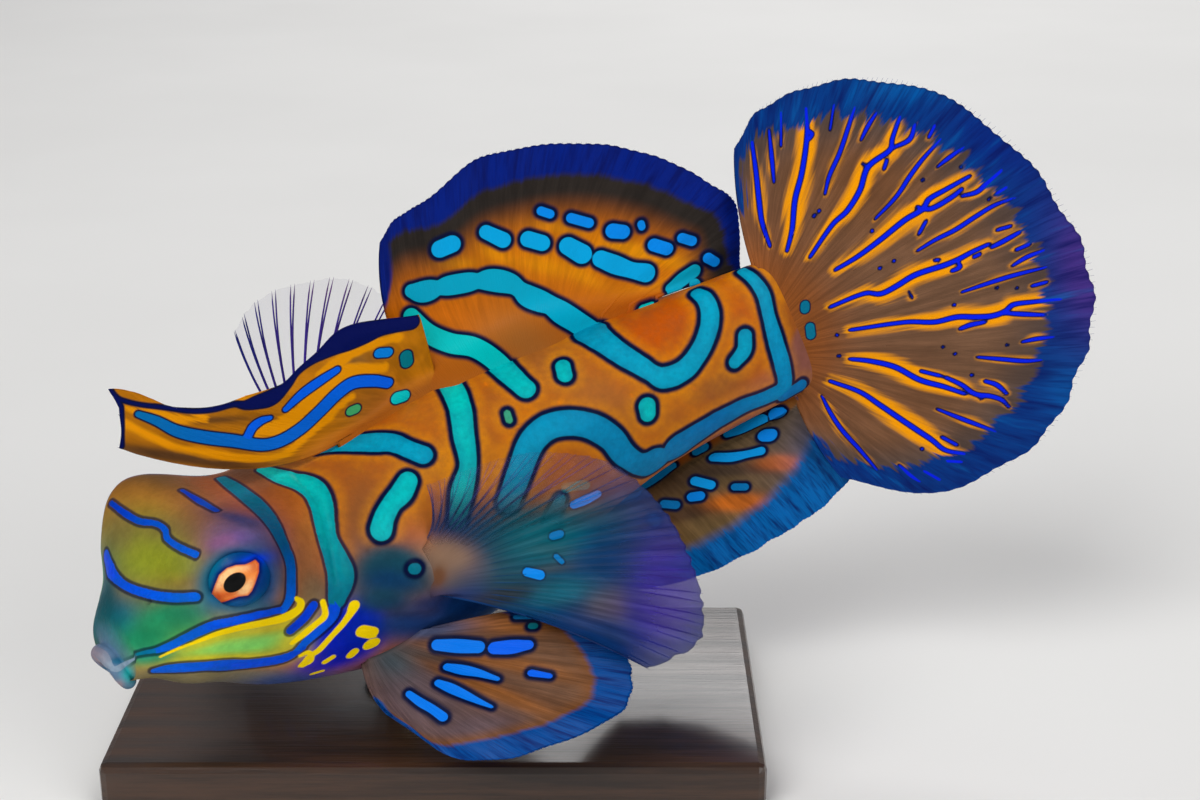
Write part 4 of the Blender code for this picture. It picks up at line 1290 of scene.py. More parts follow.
        # Painted shade: the ground is darkened at the centre of each nostril's pit.
        spot = np.exp(-(np.maximum(nose, 0) / 0.08) ** 2).reshape(rows, columns, 1)
        ground = ground * (1 - 0.8 * spot)
        tick = np.exp(-(np.maximum(pore, 0) / 0.08) ** 2).reshape(rows, columns, 1)
        ground = ground * (1 - tick) + Ink.ORANGE.linear * tick

        fronts = [grid[0].mean(0), grid[-1].mean(0)]
        places = np.concatenate([grid.reshape(-1, 3), fronts])
        first, last = rows * columns, rows * columns + 1
        j = np.arange(columns)
        k = (j + 1) % columns
        quads = outward(places, grid_faces(rows, columns, True))
        caps = np.concatenate([
            np.stack([k, j, np.full(columns, first)], -1),
            np.stack([(rows - 1) * columns + j, (rows - 1) * columns + k,
                      np.full(columns, last)], -1)])
        if not np.array_equal(quads[0], grid_faces(2, columns, True)[0]):
            caps = caps[:, ::-1]

        def ends(values: Array) -> Array:
            flatted = values.reshape(rows * columns, -1)
            full = np.concatenate([flatted, flatted[:1], flatted[-1:]])
            return full[:, 0] if full.shape[1] == 1 else full

        edging = (1 - 0.2 * head) * (1 - lips[..., 0])
        fine = mark * np.where(mark > 0, 1 + 0.9 * head.ravel(), 1.0)
        numbers = {"mark": ends(fine), "ink": ends(ink), "light": ends(light),
                   "ground": ends(ground), "shade": ends(shade), "glow": ends(glow),
                   "edging": ends(edging)}
        skin = add_mesh("skin", places, quads.tolist() + caps.tolist(), numbers,
                        SkinFinish().build())
        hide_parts("head", "front_trunk", "rear_trunk", "tail_stalk")
        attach(skin, "root")
        LOG.info("skin: %d points", len(places))

    def belly_strokes(self) -> tuple[Stroke, ...]:
        """Marks that the photograph hides behind the fins, low on the flank."""
        return (
            Stroke(((512, 606), (528, 598), (546, 586), (562, 574)), (4, 9, 9, 6),
                   Ink.BAND_BLUE, Ink.CYAN),
            Stroke(((560, 500), (552, 522), (560, 540), (580, 536), (600, 520)),
                   (10, 14, 14, 12, 8), Ink.CYAN, Ink.BAND_BLUE),
        )


LIP_LINES = (
    Stroke(((92, 650), (99, 655), (106, 662), (112, 668)), (6, 9, 8, 5), Ink.LIP_PINK, Ink.LIP),
    Stroke(((111, 669), (117, 669), (125, 664), (134, 659)), (4, 6, 5, 3), Ink.LIP),
    Stroke(((98, 668), (107, 677), (114, 684), (119, 686)), (4, 5, 6, 7), Ink.LIP, Ink.LIP_PINK),
)

LIP_PATCHES = (
    Patch((99, 657), (14, 6), Ink.LIP_PINK, 0.95, -45, 4),
    Patch((130, 673), (7, 9), Ink.TURQUOISE, 0.85, -20, 4),
    Patch((103, 678), (14, 4), Ink.BAND_BLUE, 0.8, -45, 4),
    Patch((119, 684), (5, 4), Ink.LIP_PINK, 0.7, 0, 3),
    Patch((117, 661), (10, 3.5), Ink.SNOUT_BLUE, 0.8, 10, 4),
    Patch((105, 669), (4, 3), Ink.SNOUT_BLUE, 0.8, 0, 3),
)


class Sheet:
    """A fin's middle surface: key rays, each a bent line from root to tip, read smoothly across.

    Ray fraction q runs from the first ray to the last, length fraction v from root to edge.
    """

    def __init__(self, root: Array, middle: Array, tip: Array, rays: int, pleat: float) -> None:
        """Keep the key rays and how far the film is pleated between rays."""
        self.keys = tuple(np.asarray(rows, float) for rows in (root, middle, tip))
        self.rays, self.pleat = rays, pleat
        self.rise: Array | None = None
        self.edge = np.column_stack([np.linspace(0, 1, 3), np.ones(3)])

    def flat(self, q: Array, v: Array) -> Array:
        """Quadratic line through root, bending place and tip, the edge scaled by its fit.

        On a fin of the midline the part before the root goes straight down into the body.
        """
        q, v = np.broadcast_arrays(np.asarray(q, float), np.asarray(v, float))
        sunk: Array | float = 0.0
        if self.rise is not None:
            down = np.column_stack([np.linspace(0, 1, len(self.rise)), self.rise])
            sunk = smooth(q, down) * (np.minimum(v, 0) * 14)[..., None]
            v = np.maximum(v, 0)
        reach_ = np.interp(q, self.edge[:, 0], self.edge[:, 1])
        a, b, c = (smooth(q, np.column_stack([np.linspace(0, 1, len(rows)), rows]))
                   for rows in self.keys)
        v = (v * (1 + (reach_ - 1) * np.clip(v, 0, 1)))[..., None]
        return a * (1 - v) ** 2 + b * 2 * v * (1 - v) + c * v**2 + sunk

    def normal(self, q: Array, v: Array, step: float = 2e-3) -> Array:
        """Cross product of the sheet's slopes across and along the rays."""
        q = np.clip(q, step, 1 - step)
        dq = self.flat(q + step, v) - self.flat(q - step, v)
        dv = self.flat(q, v + step) - self.flat(q, v - step)
        return unit(np.cross(dq, dv))

    def at(self, q: Array, v: Array) -> Array:
        """The flat sheet pleated by a cosine that crests on every ray and grows with v."""
        q, v = np.broadcast_arrays(np.asarray(q, float), np.asarray(v, float))
        wave = self.pleat * np.cos(2 * math.pi * q * (self.rays - 1)) * ease(v, 0.05, 0.7)
        return self.flat(q, v) + self.normal(q, v) * wave[..., None]

    def fit(self, outline: Points) -> None:
        """Scale each ray so that its tip falls on an outline in the picture.

        The ray is read to 1.2 times its length; the place nearest the outline within 10
        picture points gives the scale, smoothed over neighbours.
        """
        line, _, _ = Stroke(outline, 1).sample(1.0)
        q = np.linspace(0, 1, 61)
        v = np.linspace(0.8, 1.2, 161)
        spots = LENS.project(self.flat(q[:, None], v[None, :]))
        far = np.linalg.norm(spots[:, :, None] - line[None, None, ::2], axis=-1).min(-1)
        best = v[far.argmin(1)]
        best = np.where(far.min(1) < 2.5, best, np.nan)
        known = ~np.isnan(best)
        if known.any():
            best = np.interp(q, q[known], best[known])
            best = np.convolve(np.pad(best, 2, mode="edge"), np.ones(5) / 5, "valid")
            self.edge = np.column_stack([q, np.clip(best, 0.88, 1.12)])


def median_sheet(turn: float, roots: tuple, tips: tuple, bow: tuple, rays: int,
                 flat_at: float | None = None, pleat: float = 0.07) -> Sheet:
    """Fin on the midline: root stations, tips as (station, side, up), bow of its outer rays."""
    roots, tips = np.array(roots, float), np.array(tips, float)
    if len(roots) != len(tips):
        share = np.linspace(0, 1, len(tips))
        roots = np.interp(share, np.linspace(0, 1, len(roots)), roots)
    root = FORM.skin(roots, turn) + FORM.normal(roots, turn) * 0.3
    if flat_at is None:
        tip = FORM.place(tips[:, 0], tips[:, 1], tips[:, 2])
        axes = FORM.frame(roots)[1:]
    else:
        centre, back, left, up = FORM.frame(flat_at)
        tip = centre + back * (tips[:, :1] - flat_at) + left * tips[:, 1:2] + up * tips[:, 2:3]
        axes = (back, left, up)
    share = np.linspace(0, 1, len(tips))[:, None]
    bend = np.array(bow[0]) * (1 - share) + np.array(bow[1]) * share
    middle = 0.5 * (root + tip) + sum(a * bend[:, k:k + 1] for k, a in enumerate(axes))
    made = Sheet(root, middle, tip, rays, pleat)
    made.rise = FORM.normal(roots, turn)
    return made


def paired_sheet(side: int, station: float, roots: tuple, tips: tuple, bow: tuple, rays: int,
                 pleat: float = 0.06) -> Sheet:
    """Fin of one flank: roots as (station, turn), tips from a frame as (back, out, up)."""
    roots, tips = np.array(roots, float), np.array(tips, float)
    share = np.linspace(0, 1, len(tips))
    places = np.linspace(0, 1, len(roots))
    root_s = np.interp(share, places, roots[:, 0])
    root_t = side * np.radians(np.interp(share, places, roots[:, 1]))
    root = FORM.skin(root_s, root_t) + FORM.normal(root_s, root_t) * 0.3
    centre, back, left, up = FORM.frame(station)
    tip = centre + back * tips[:, :1] + left * side * tips[:, 1:2] + up * tips[:, 2:3]
    bend = np.array(bow[0]) * (1 - share[:, None]) + np.array(bow[1]) * share[:, None]
    middle = (0.5 * (root + tip) + back * bend[:, :1] + left * side * bend[:, 1:2]
              + up * bend[:, 2:3])
    return Sheet(root, middle, tip, rays, pleat)


def caudal_sheet() -> Sheet:
    """Tail fin: a fan from the end of the stalk, slightly cupped."""
    tips = np.array([(48.6, 11.9), (51.1, 13.4), (54.5, 13.5), (57.7, 12.4), (60.7, 10.5),
                     (63.2, 7.6), (64.9, 3.3), (65.9, -1.3), (65.7, -6.1), (63.8, -10.4),
                     (60.3, -13.9), (55.7, -15.5), (50.4, -15.0), (46.2, -11.6)], float)
    zero = np.zeros(len(tips))
    low = np.linspace(-1, 1, len(tips)).clip(0) ** 6
    root = FORM.place(zero + FORM.length + 0.3 - low, zero, np.linspace(4.0, -4.6, len(tips)))
    tip = FORM.place(tips[:, 0], zero, tips[:, 1])
    _, back, left, up = FORM.frame(FORM.length)
    share = np.linspace(-1, 1, len(tips))[:, None]
    middle = 0.5 * (root + tip) - back * 0.7 * share**2 - up * share * 0.2 + left * 0.5 * (
        1 - share**2)
    return Sheet(root, middle, tip, 10, 0.09)


@dataclass
class Fin:
    """One fin: a thin film and a tree of branching rays that share the film's paint.

    Attributes:
        name: Piece name.
        node: Node that the film stands for.
        sheet: Its middle surface.
        finish: Finish of the film; ray_finish is that of the rays.
        grid: Columns across the rays and rows along them.
        thick: Whole thickness at the root and of the film; flare is how far the root's reaches,
            up to the ray fraction flare_to; notch is the depth of the edge's nicks.
        ray: Radius of a ray at its root and at its tip.
        levels: How often a ray branches; fork is the branches' share of the even spacing.
        ground, patches: Base ink and the patches over it; ray_patches are those of the rays.
        marks, halos: Strokes and the strokes of their halos.
        glow, rim: Inks of halos and margin.
        edging: Strength of the dark outline.
        margin: Rows of ray fraction and margin width; sides are the widths at the outer rays,
            from the length fraction side_from outward.
        dusk: Ink, start and end in millimetres of the dark belt inside the margin.
        blend: Length fraction over which the body's own colours fade into the fin's.
        cover: Base opacity and its patches, where CLEAR is clear and any other ink is solid;
            ray_cover is how far the rays go from that to solid.
    """

    name: str
    node: str
    sheet: Sheet
    finish: FinFinish
    grid: tuple[int, int] = (160, 90)
    thick: tuple[float, float] = (1.0, 0.2)
    ray: tuple[float, float] = (0.17, 0.035)
    levels: int = 4
    ground: Ink = Ink.GROUND
    patches: tuple[Patch, ...] = ()
    ray_ground: Ink | None = None
    ray_patches: tuple[Patch, ...] = ()
    marks: tuple[Stroke, ...] = ()
    halos: tuple[Stroke, ...] = ()
    glow: Ink = Ink.ORANGE
    rim: Ink = Ink.MARGIN
    rim_patches: tuple[Patch, ...] = ()
    edging: float = 1.0
    margin: Points = ((0, 0.0), (1, 0.0))
    sides: tuple[float, float] = (0.0, 0.0)
    side_from: float = 0.1
    dusk: tuple[Ink, float, float] | None = None
    shade: float = 0.5
    flare: float = 0.2
    flare_to: float = 2.0
    notch: float = 0.008
    fork: float = 1.0
    blend: float = 0.0
    cover: float = 1.0
    ray_cover: float = 1.0
    cover_patches: tuple[Patch, ...] = ()
    ray_finish: FinFinish | None = None
    like: "Fin | None" = None
    start: float = -0.07
    paint: dict[str, Array] = field(default_factory=dict)

    def spread(self) -> tuple[Array, Array]:
        """Ray fractions, and length fractions that start inside the body."""
        columns, rows = self.grid
        return np.linspace(0, 1, columns), np.linspace(self.start, 1, rows)

    def colours(self) -> dict[str, Array]:
        """Paint values on the film's grid (columns, rows, ...).

        Arc lengths across and along the grid give the distance from each edge; less the
        margin's width, the smallest is the margin value, negative inside the margin.
        """
        q, v = self.spread()
        grid = self.sheet.at(q[:, None], v[None, :])
        out = self.sheet.normal(q[:, None], v[None, :]) * self.half(
            *np.broadcast_arrays(q[:, None], v[None, :]))[..., None]
        grid = grid + out * np.sign(np.sum(out * (LENS.eye - grid), -1).mean())
        flat = grid.reshape(-1, 3)
        canvas = Canvas(grid)
        mark, ink = reach(flat, canvas.lay(self.marks))
        halo, _ = reach(flat, canvas.lay(self.halos))
        along = np.cumsum(np.linalg.norm(np.diff(grid, axis=1), axis=-1), 1)
        along = np.concatenate([np.zeros((len(q), 1)), along], 1)
        across = np.cumsum(np.linalg.norm(np.diff(grid, axis=0), axis=-1), 0)
        across = np.concatenate([np.zeros((1, len(v))), across], 0)
        width = smooth(q, self.margin)[:, 0]
        end = along[:, -1:] - along
        margin = np.where(width[:, None] > 0.01, end - width[:, None], FAR)
        late = FAR * (1 - ease(v, self.side_from, self.side_from + 0.25))[None, :]
        if self.sides[0] > 0:
            margin = np.minimum(margin, across - self.sides[0] + late)
        if self.sides[1] > 0:
            margin = np.minimum(margin, across[-1:] - across - self.sides[1] + late)
        spots = LENS.project(flat)
        ground = wash(spots, self.ground.linear, self.patches).reshape(*grid.shape)
        if self.blend > 0:
            body = wash(spots, Ink.GROUND.linear, BODY_PATCHES + HEAD_PATCHES)
            body = 0.8 * body.reshape(*grid.shape) + 0.1 * Ink.BROWN.linear
            share = (1 - ease(v, 0.0, self.blend))[None, :, None]
            ground = ground * (1 - share) + body * share
        if self.dusk:
            belt = np.where(width[:, None] > 0.01, end - width[:, None], FAR * 4)
            share = (1 - ease(belt, self.dusk[1], self.dusk[2]))[..., None]
            ground = ground * (1 - share) + self.dusk[0].linear * share
        ray_ground = ground if self.ray_ground is None else wash(
            spots, self.ray_ground.linear, self.ray_patches).reshape(*grid.shape)
        cover = np.full(len(flat), self.cover)
        for patch in self.cover_patches:
            w = patch.weight(spots)
            cover = cover * (1 - w) + w * (0.0 if patch.ink is Ink.CLEAR else 1.0)
        shape = grid.shape[:2]
        return {"mark": mark.reshape(shape), "halo": halo.reshape(shape), "margin": margin,
                "ink": ink.reshape(*shape, 3), "ground": ground, "ray_ground": ray_ground,
                "rim": wash(spots, self.rim.linear, self.rim_patches).reshape(*shape, 3),
                "cover": cover.reshape(shape)}

    def half(self, q: Array, v: Array) -> Array:
        """Half thickness: the root's falls to the film's like a fillet, and thins at the edge."""
        root = np.clip(1 - v / self.flare, 0, 1) ** 2.2 * ease(
            np.minimum(q, 1 - q), -0.01, 0.08) * (1 - ease(q, self.flare_to - 0.3, self.flare_to))
        half = 0.5 * (self.thick[1] + (self.thick[0] - self.thick[1]) * root)
        return half * (1 - 0.65 * ease(v, 0.85, 1.0))

    def film(self) -> tuple[Array, Array, Array, Array]:
        """Both faces of the film and the strip that closes them, scalloped at the edge."""
        q, v = self.spread()
        turns = 2 * math.pi * q * (self.sheet.rays - 1)
        scallop = 0.998 - 0.005 * (0.5 + 0.5 * np.cos(turns * 2 ** min(self.levels, 3))) - (
            self.notch * (0.5 - 0.5 * np.cos(turns * 1.3 + 4 * np.sin(9 * q))))
        vv = np.where(v[None, :] > 0, v[None, :] * scallop[:, None], v[None, :])
        qq = np.broadcast_to(q[:, None], vv.shape)
        grid, normal = self.sheet.at(qq, vv), self.sheet.normal(qq, vv)
        half = self.half(qq, vv)
        front, rear = grid + normal * half[..., None], grid - normal * half[..., None]
        places = np.concatenate([front.reshape(-1, 3), rear.reshape(-1, 3)])
        columns, rows = vv.shape
        count = columns * rows
        face = grid_faces(columns, rows)
        rim = np.concatenate([np.arange(columns) * rows,
                              (columns - 1) * rows + np.arange(1, rows),
                              np.arange(columns - 2, -1, -1) * rows + rows - 1,
                              np.arange(rows - 2, 0, -1)])
        after = np.roll(rim, -1)
        strip = np.stack([after, rim, rim + count, after + count], -1)
        faces = np.concatenate([face, face[:, ::-1] + count, strip])
        return places, outward(places, faces), np.tile(qq.ravel(), 2), np.tile(vv.ravel(), 2)

    def branches(self) -> tuple[Array, Array, Array]:
        """Ray fraction, length fraction and radius along every branch.

        At each level a branch parts in two; the branches of a level run over their share of
        the length while their distance from the ray's line eases to the next even spacing.
        """
        rays, count = self.sheet.rays, 9
        stops = {1: (0.42,), 2: (0.38, 0.7), 3: (0.34, 0.6, 0.84),
                 4: (0.32, 0.56, 0.78, 0.92)}[self.levels]
        bounds = (self.start, *stops, 1.0)
        spreads = [0.0, 0.25, 0.125, 0.0625, 0.03125]
        qs, vs, rs = [], [], []
        starts = np.zeros(1)
        for level in range(self.levels + 1):
            low = bounds[level] - (0.015 if level else 0.0)
            v = np.linspace(low, bounds[level + 1], count)
            share = ease(v, bounds[level], bounds[level + 1])
            if level == 0:
                ends = starts
            else:
                starts = np.repeat(starts, 2)
                ends = starts + np.tile([-1, 1], len(starts) // 2) * spreads[level] * self.fork
            offset = starts[:, None] * (1 - share) + ends[:, None] * share
            centre = np.arange(rays)[:, None, None] + offset[None]
            q = np.clip(centre / (rays - 1), 0.0005, 0.9995).reshape(-1, count)
            whole = np.broadcast_to(v, q.shape)
            size = self.ray[0] + (self.ray[1] - self.ray[0]) * np.clip(whole, 0, 1) ** 0.6
            if level == self.levels:
                size = size * (1 - 0.85 * ease(whole, 0.93, 1.0))
            qs.append(q)
            vs.append(whole)
            rs.append(size)
            starts = ends
        return np.concatenate(qs), np.concatenate(vs), np.concatenate(rs)

    def tubes(self, sides: int = 6) -> tuple[Array, list, Array, Array]:
        """Closed tubes along the branches: rings about each path, with a point at each end."""
        q, v, size = self.branches()
        path = self.sheet.at(q, v)
        normal = self.sheet.normal(q, v)
        tangent = unit(np.gradient(path, axis=1))
        side = unit(np.cross(tangent, normal))
        up = np.cross(side, tangent)
        a = np.linspace(0, 2 * math.pi, sides, endpoint=False)[:, None]
        ring = (path[:, :, None] + size[..., None, None]
                * (np.cos(a) * up[:, :, None] + np.sin(a) * side[:, :, None]))
        number, count = q.shape
        ends = np.stack([path[:, 0] - tangent[:, 0] * 0.01,
                         path[:, -1] + tangent[:, -1] * size[:, -1:]], 1)
        places = np.concatenate([ring.reshape(-1, 3), ends.reshape(-1, 3)])
        one = grid_faces(count, sides, True)
        body = (np.arange(number)[:, None, None] * count * sides + one[None]).reshape(-1, 4)
        j = np.arange(sides)
        k = (j + 1) % sides
        base = np.arange(number)[:, None] * count * sides
        tips = number * count * sides + np.arange(number)[:, None] * 2
        first = np.stack([base + k, base + j, np.broadcast_to(tips, (number, sides))], -1)
        tail = base + (count - 1) * sides
        last = np.stack([tail + j, tail + k, np.broadcast_to(tips + 1, (number, sides))], -1)
        caps = np.concatenate([first.reshape(-1, 3), last.reshape(-1, 3)])
        quads = outward(places, body)
        if quads is not body:
            caps = caps[:, ::-1]
        q_all = np.concatenate([np.repeat(q.ravel(), sides), q[:, [0, -1]].ravel()])
        v_all = np.concatenate([np.repeat(v.ravel(), sides), v[:, [0, -1]].ravel()])
        return places, quads.tolist() + caps.tolist(), q_all, v_all

    def read(self, values: Array, q: Array, v: Array) -> Array:
        """Grid values between the four nearest grid places, by their shares."""
        columns, rows = self.grid
        x = np.clip(q, 0, 1) * (columns - 1)
        y = np.clip((v - self.start) / (1 - self.start), 0, 1) * (rows - 1)
        i = np.minimum(x.astype(int), columns - 2)
        j = np.minimum(y.astype(int), rows - 2)
        extra = (1,) * (values.ndim - 2)
        fx, fy = (x - i).reshape(-1, *extra), (y - j).reshape(-1, *extra)
        return (values[i, j] * (1 - fx) * (1 - fy) + values[i + 1, j] * fx * (1 - fy)
                + values[i, j + 1] * (1 - fx) * fy + values[i + 1, j + 1] * fx * fy)

    def build(self) -> None:
        """Paint the grid, or take the paint of the fin it is like, and make both pieces."""
        self.paint = self.like.paint if self.like else self.colours()
        film_finish = self.finish.build()
        ray_finish = self.ray_finish.build() if self.ray_finish else film_finish
        for suffix, made, material, ground in (
                ("film", self.film(), film_finish, "ground"),
                ("rays", self.tubes(), ray_finish, "ray_ground")):
            places, faces, q, v = made
            read = {key: self.read(values, q, v) for key, values in self.paint.items()}
            count = len(places)
            numbers = {
                "mark": read["mark"], "halo": read["halo"], "margin": read["margin"],
                "ink": read["ink"], "ground": read[ground],
                "shade": read[ground] * (1 - (1 - self.shade) * ease(
                    v, 0.0, self.blend + 0.02))[:, None], "rim": read["rim"],
                "glow": np.tile(self.glow.linear, (count, 1)),
                "edging": np.full(count, self.edging), "cover": read["cover"]}
            if suffix == "rays":
                numbers["cover"] = numbers["cover"] * (1 - self.ray_cover) + self.ray_cover
            bent = None
            if self.sheet.rise is not None and suffix == "film":
                keys = np.column_stack([np.linspace(0, 1, len(self.sheet.rise)), self.sheet.rise])
                bent = 0.75 * (1 - ease(v, 0.0, 0.3)), smooth(q, keys)
            thing = add_mesh(f"{self.name}_{suffix}", places, faces, numbers, material,
                             np.stack([q, v], -1), bent)
            if suffix == "film":
                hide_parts(self.node)
            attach(thing, "root")
            LOG.info("%s: %d points", thing.name, count)


CAUDAL_MAIN = (
    ((752, 142), (756, 172), (759, 200), (762, 222), (770, 246)),
    ((806, 108), (807, 135), (802, 172), (795, 200), (792, 230), (787, 251)),
    ((900, 117), (892, 140), (891, 149), (868, 167), (860, 190), (847, 211), (833, 224),
     (810, 257)),
    ((970, 176), (945, 190), (928, 200), (924, 208), (905, 220), (880, 240), (857, 257),
     (835, 270)),
    ((989, 244), (972, 252), (957, 260), (945, 265), (915, 275), (895, 287), (880, 294),
     (866, 293), (830, 307)),
    ((1062, 299), (1032, 302), (1012, 305), (1006, 311), (992, 316), (975, 317), (957, 317),
     (935, 322), (907, 322), (850, 330)),
    ((965, 394), (945, 387), (920, 380), (895, 367), (870, 361), (850, 359)),
    ((965, 454), (945, 450), (932, 440), (920, 432), (905, 422), (880, 405), (860, 392),
     (830, 381)),
)
CAUDAL_SIDE = (
    ((877, 470), (860, 450), (842, 430), (830, 412), (822, 396)),
    ((855, 107), (850, 122), (840, 152), (829, 177), (825, 194)),
    ((941, 139), (922, 160), (910, 176), (896, 197), (875, 219)),
    ((1017, 197), (995, 205), (975, 217), (955, 230), (935, 240), (917, 251)),
    ((1047, 267), (1015, 275), (992, 282), (962, 292)),
    ((1042, 360), (1025, 361), (1000, 359), (977, 357)),
    ((997, 432), (965, 420), (937, 409)),
    ((920, 482), (910, 475), (899, 465)),
    ((964, 147), (950, 157), (937, 167)),
    ((877, 112), (868, 126), (861, 140)),
    ((781, 112), (781, 146)),
    ((769, 130), (772, 160), (774, 182)),
    ((834, 104), (830, 130)),
    ((1045, 250), (1027, 257), (1012, 266)),
    ((1055, 337), (1036, 339), (1022, 342)),
)
CAUDAL_TWIGS = (
    ((915, 124), (910, 139), (895, 147)),
    ((962, 189), (952, 197), (930, 209), (917, 207)),
    ((1002, 170), (985, 185), (977, 192), (962, 196)),
    ((1007, 187), (996, 194)),
    ((997, 230), (1011, 226)),
    ((1020, 232), (1002, 242), (992, 247)),
    ((980, 254), (974, 257)),
    ((957, 262), (960, 267), (952, 271)),
    ((1045, 315), (1020, 314), (1005, 313)),
    ((985, 322), (970, 325), (960, 329)),
    ((921, 371), (941, 376)),
    ((945, 377), (962, 385), (975, 394), (990, 396), (1002, 400), (1009, 407)),
    ((985, 381), (997, 385), (1007, 394)),
    ((981, 399), (983, 395)),
    ((942, 437), (957, 445)),
    ((947, 461), (962, 462)),
    ((926, 221), (919, 234)),
    ((887, 160), (884, 169)),
    ((935, 260), (939, 260)),
    ((909, 292), (912, 298)),
    ((807, 130), (812, 134), (809, 139)),
    ((935, 125), (929, 137)),
    ((1047, 282), (1032, 286)),
    ((1030, 244), (1016, 250)),
    ((924, 471), (940, 480)),
    ((867, 166), (863, 164)),
)
CAUDAL_DOTS = ((961, 167), (989, 199), (1017, 288), (954, 305), (1007, 345), (955, 354),
               (837, 335), (839, 356), (922, 449), (894, 261), (880, 268), (814, 216),
               (819, 211), (872, 231), (997, 288), (923, 180), (943, 347), (972, 375))

DORSAL_SPOTS = (
    Stroke(((440, 249), (452, 244)), (17, 17), Ink.FIN_CYAN),
    Stroke(((486, 232), (503, 240)), (14, 16), Ink.FIN_CYAN),
    Stroke(((528, 239), (542, 243)), (16, 16), Ink.FIN_CYAN),
    Stroke(((568, 246), (582, 254)), (18, 20), Ink.FIN_CYAN),
    Stroke(((601, 259), (616, 265), (631, 270), (646, 273)), (17, 19, 16, 19), Ink.FIN_CYAN),
    Stroke(((541, 211), (550, 214)), (9, 9), Ink.FIN_BLUE),
    Stroke(((571, 218), (589, 223)), (10, 10), Ink.FIN_BLUE),
    Stroke(((613, 231), (623, 232)), (15, 14), Ink.FIN_BLUE),
    Stroke(((641, 224), (642, 227)), (8, 7), Ink.FIN_BLUE),
    Stroke(((654, 245), (667, 249)), (13, 13), Ink.FIN_BLUE),
    Stroke(((682, 238), (692, 241)), (10, 10), Ink.FIN_BLUE),
    Stroke(((708, 258), (715, 262)), (11, 10), Ink.FIN_BLUE),
    Stroke(((671, 289), (681, 280), (694, 271)), (11, 13, 12), Ink.CYAN),
    Stroke(((644, 310), (652, 307)), (11, 10), Ink.TURQUOISE),
)

FIRST_DORSAL_MARKS = (
    Stroke(((138, 414), (157, 421), (177, 431), (203, 437), (234, 441), (262, 445), (280, 441),
            (300, 429), (320, 411), (337, 394), (353, 383), (374, 381), (388, 383)),
           (6, 9, 11, 12, 12, 11, 11, 11, 11, 11, 11, 11, 10), Ink.BAND_BLUE, Ink.LINE_BLUE),
    Stroke(((248, 436), (253, 427), (261, 421), (270, 418)), (8, 8, 7, 4), Ink.LINE_BLUE),
    Stroke(((286, 409), (302, 394), (320, 381), (337, 370)), (5, 8, 8, 6), Ink.LINE_BLUE),
    Stroke(((379, 353), (388, 352.5)), (9, 9), Ink.FIN_BLUE),
    Stroke(((406, 356), (407, 362)), (12, 12), Ink.TEAL),
    Stroke(((397, 398), (404, 396)), (11, 10), Ink.TURQUOISE),
    Stroke(((351, 411), (356, 409)), (8, 8), Ink.GREEN_SPOT),
)
FIRST_DORSAL_DARK = (
    Stroke(((81, 361), (95, 378), (105, 391), (116, 398), (137, 404), (165, 407.5), (193, 411),
            (214, 409), (235, 404), (245, 405), (258, 402), (271, 398), (284, 388), (298, 371),
            (311, 360), (322, 352), (335, 343), (350, 337), (365, 333), (380, 328), (395, 325),
            (412, 322)), (4, 5, 4, 3, 2.5, 3, 3, 4, 4, 7, 12, 14, 8, 6, 9, 15, 24, 28, 23, 17,
                          15, 15), Ink.NAVY),
    Stroke(((109, 390), (115, 408), (118, 428), (120, 446)), (6, 9, 10, 7), Ink.NAVY),
)
FIRST_DORSAL_GLOW = (
    Stroke(((112, 404), (140, 412), (175, 418), (205, 419)), (4, 6, 7, 6)),
    Stroke(((108, 413), (140, 430), (176, 446), (212, 454), (250, 458), (282, 455),
            (306, 436), (330, 414), (352, 396)), (5, 6, 6, 6, 5, 6, 8, 9, 7)),
    Stroke(((257, 432), (280, 426), (302, 410), (326, 388), (350, 372), (384, 367)),
           (10, 15, 14, 15, 14, 8)),
    Stroke(((222, 402), (240, 398), (258, 394), (272, 390), (288, 377), (306, 362)),
           (3, 5, 5, 5, 5, 4)),
    Stroke(((322, 374), (345, 358), (372, 343), (398, 338)), (8, 8, 8, 6)),
)

ANAL_MARKS = (
    Stroke(((727, 434), (742, 429), (762, 420)), (7, 9, 9), Ink.ANAL_BLUE),
    Stroke(((776, 415), (780, 415)), 9, Ink.FIN_BLUE),
    Stroke(((765, 435), (770, 435)), 12, Ink.FIN_BLUE),
    Stroke(((696, 452), (704, 447)), (7, 9), Ink.ANAL_BLUE),
    Stroke(((714, 457), (732, 457), (748, 454), (761, 451)), (8, 9, 7, 8), Ink.ANAL_BLUE),
    Stroke(((638, 490), (655, 479), (673, 466)), (7, 9, 6), Ink.ANAL_BLUE),
    Stroke(((616, 502), (636, 494)), (5, 7), Ink.FIN_BLUE),
    Stroke(((695, 481), (711, 485)), (9, 9), Ink.ANAL_BLUE),
    Stroke(((735, 487), (745, 487)), (7, 7), Ink.BAND_BLUE),
    Stroke(((692, 497), (700, 496)), (9, 9), Ink.FIN_BLUE),
    Stroke(((664, 504), (676, 505)), (8, 8), Ink.BAND_BLUE),
    Stroke(((653, 518), (656, 522)), (10, 10), Ink.BAND_BLUE),
)

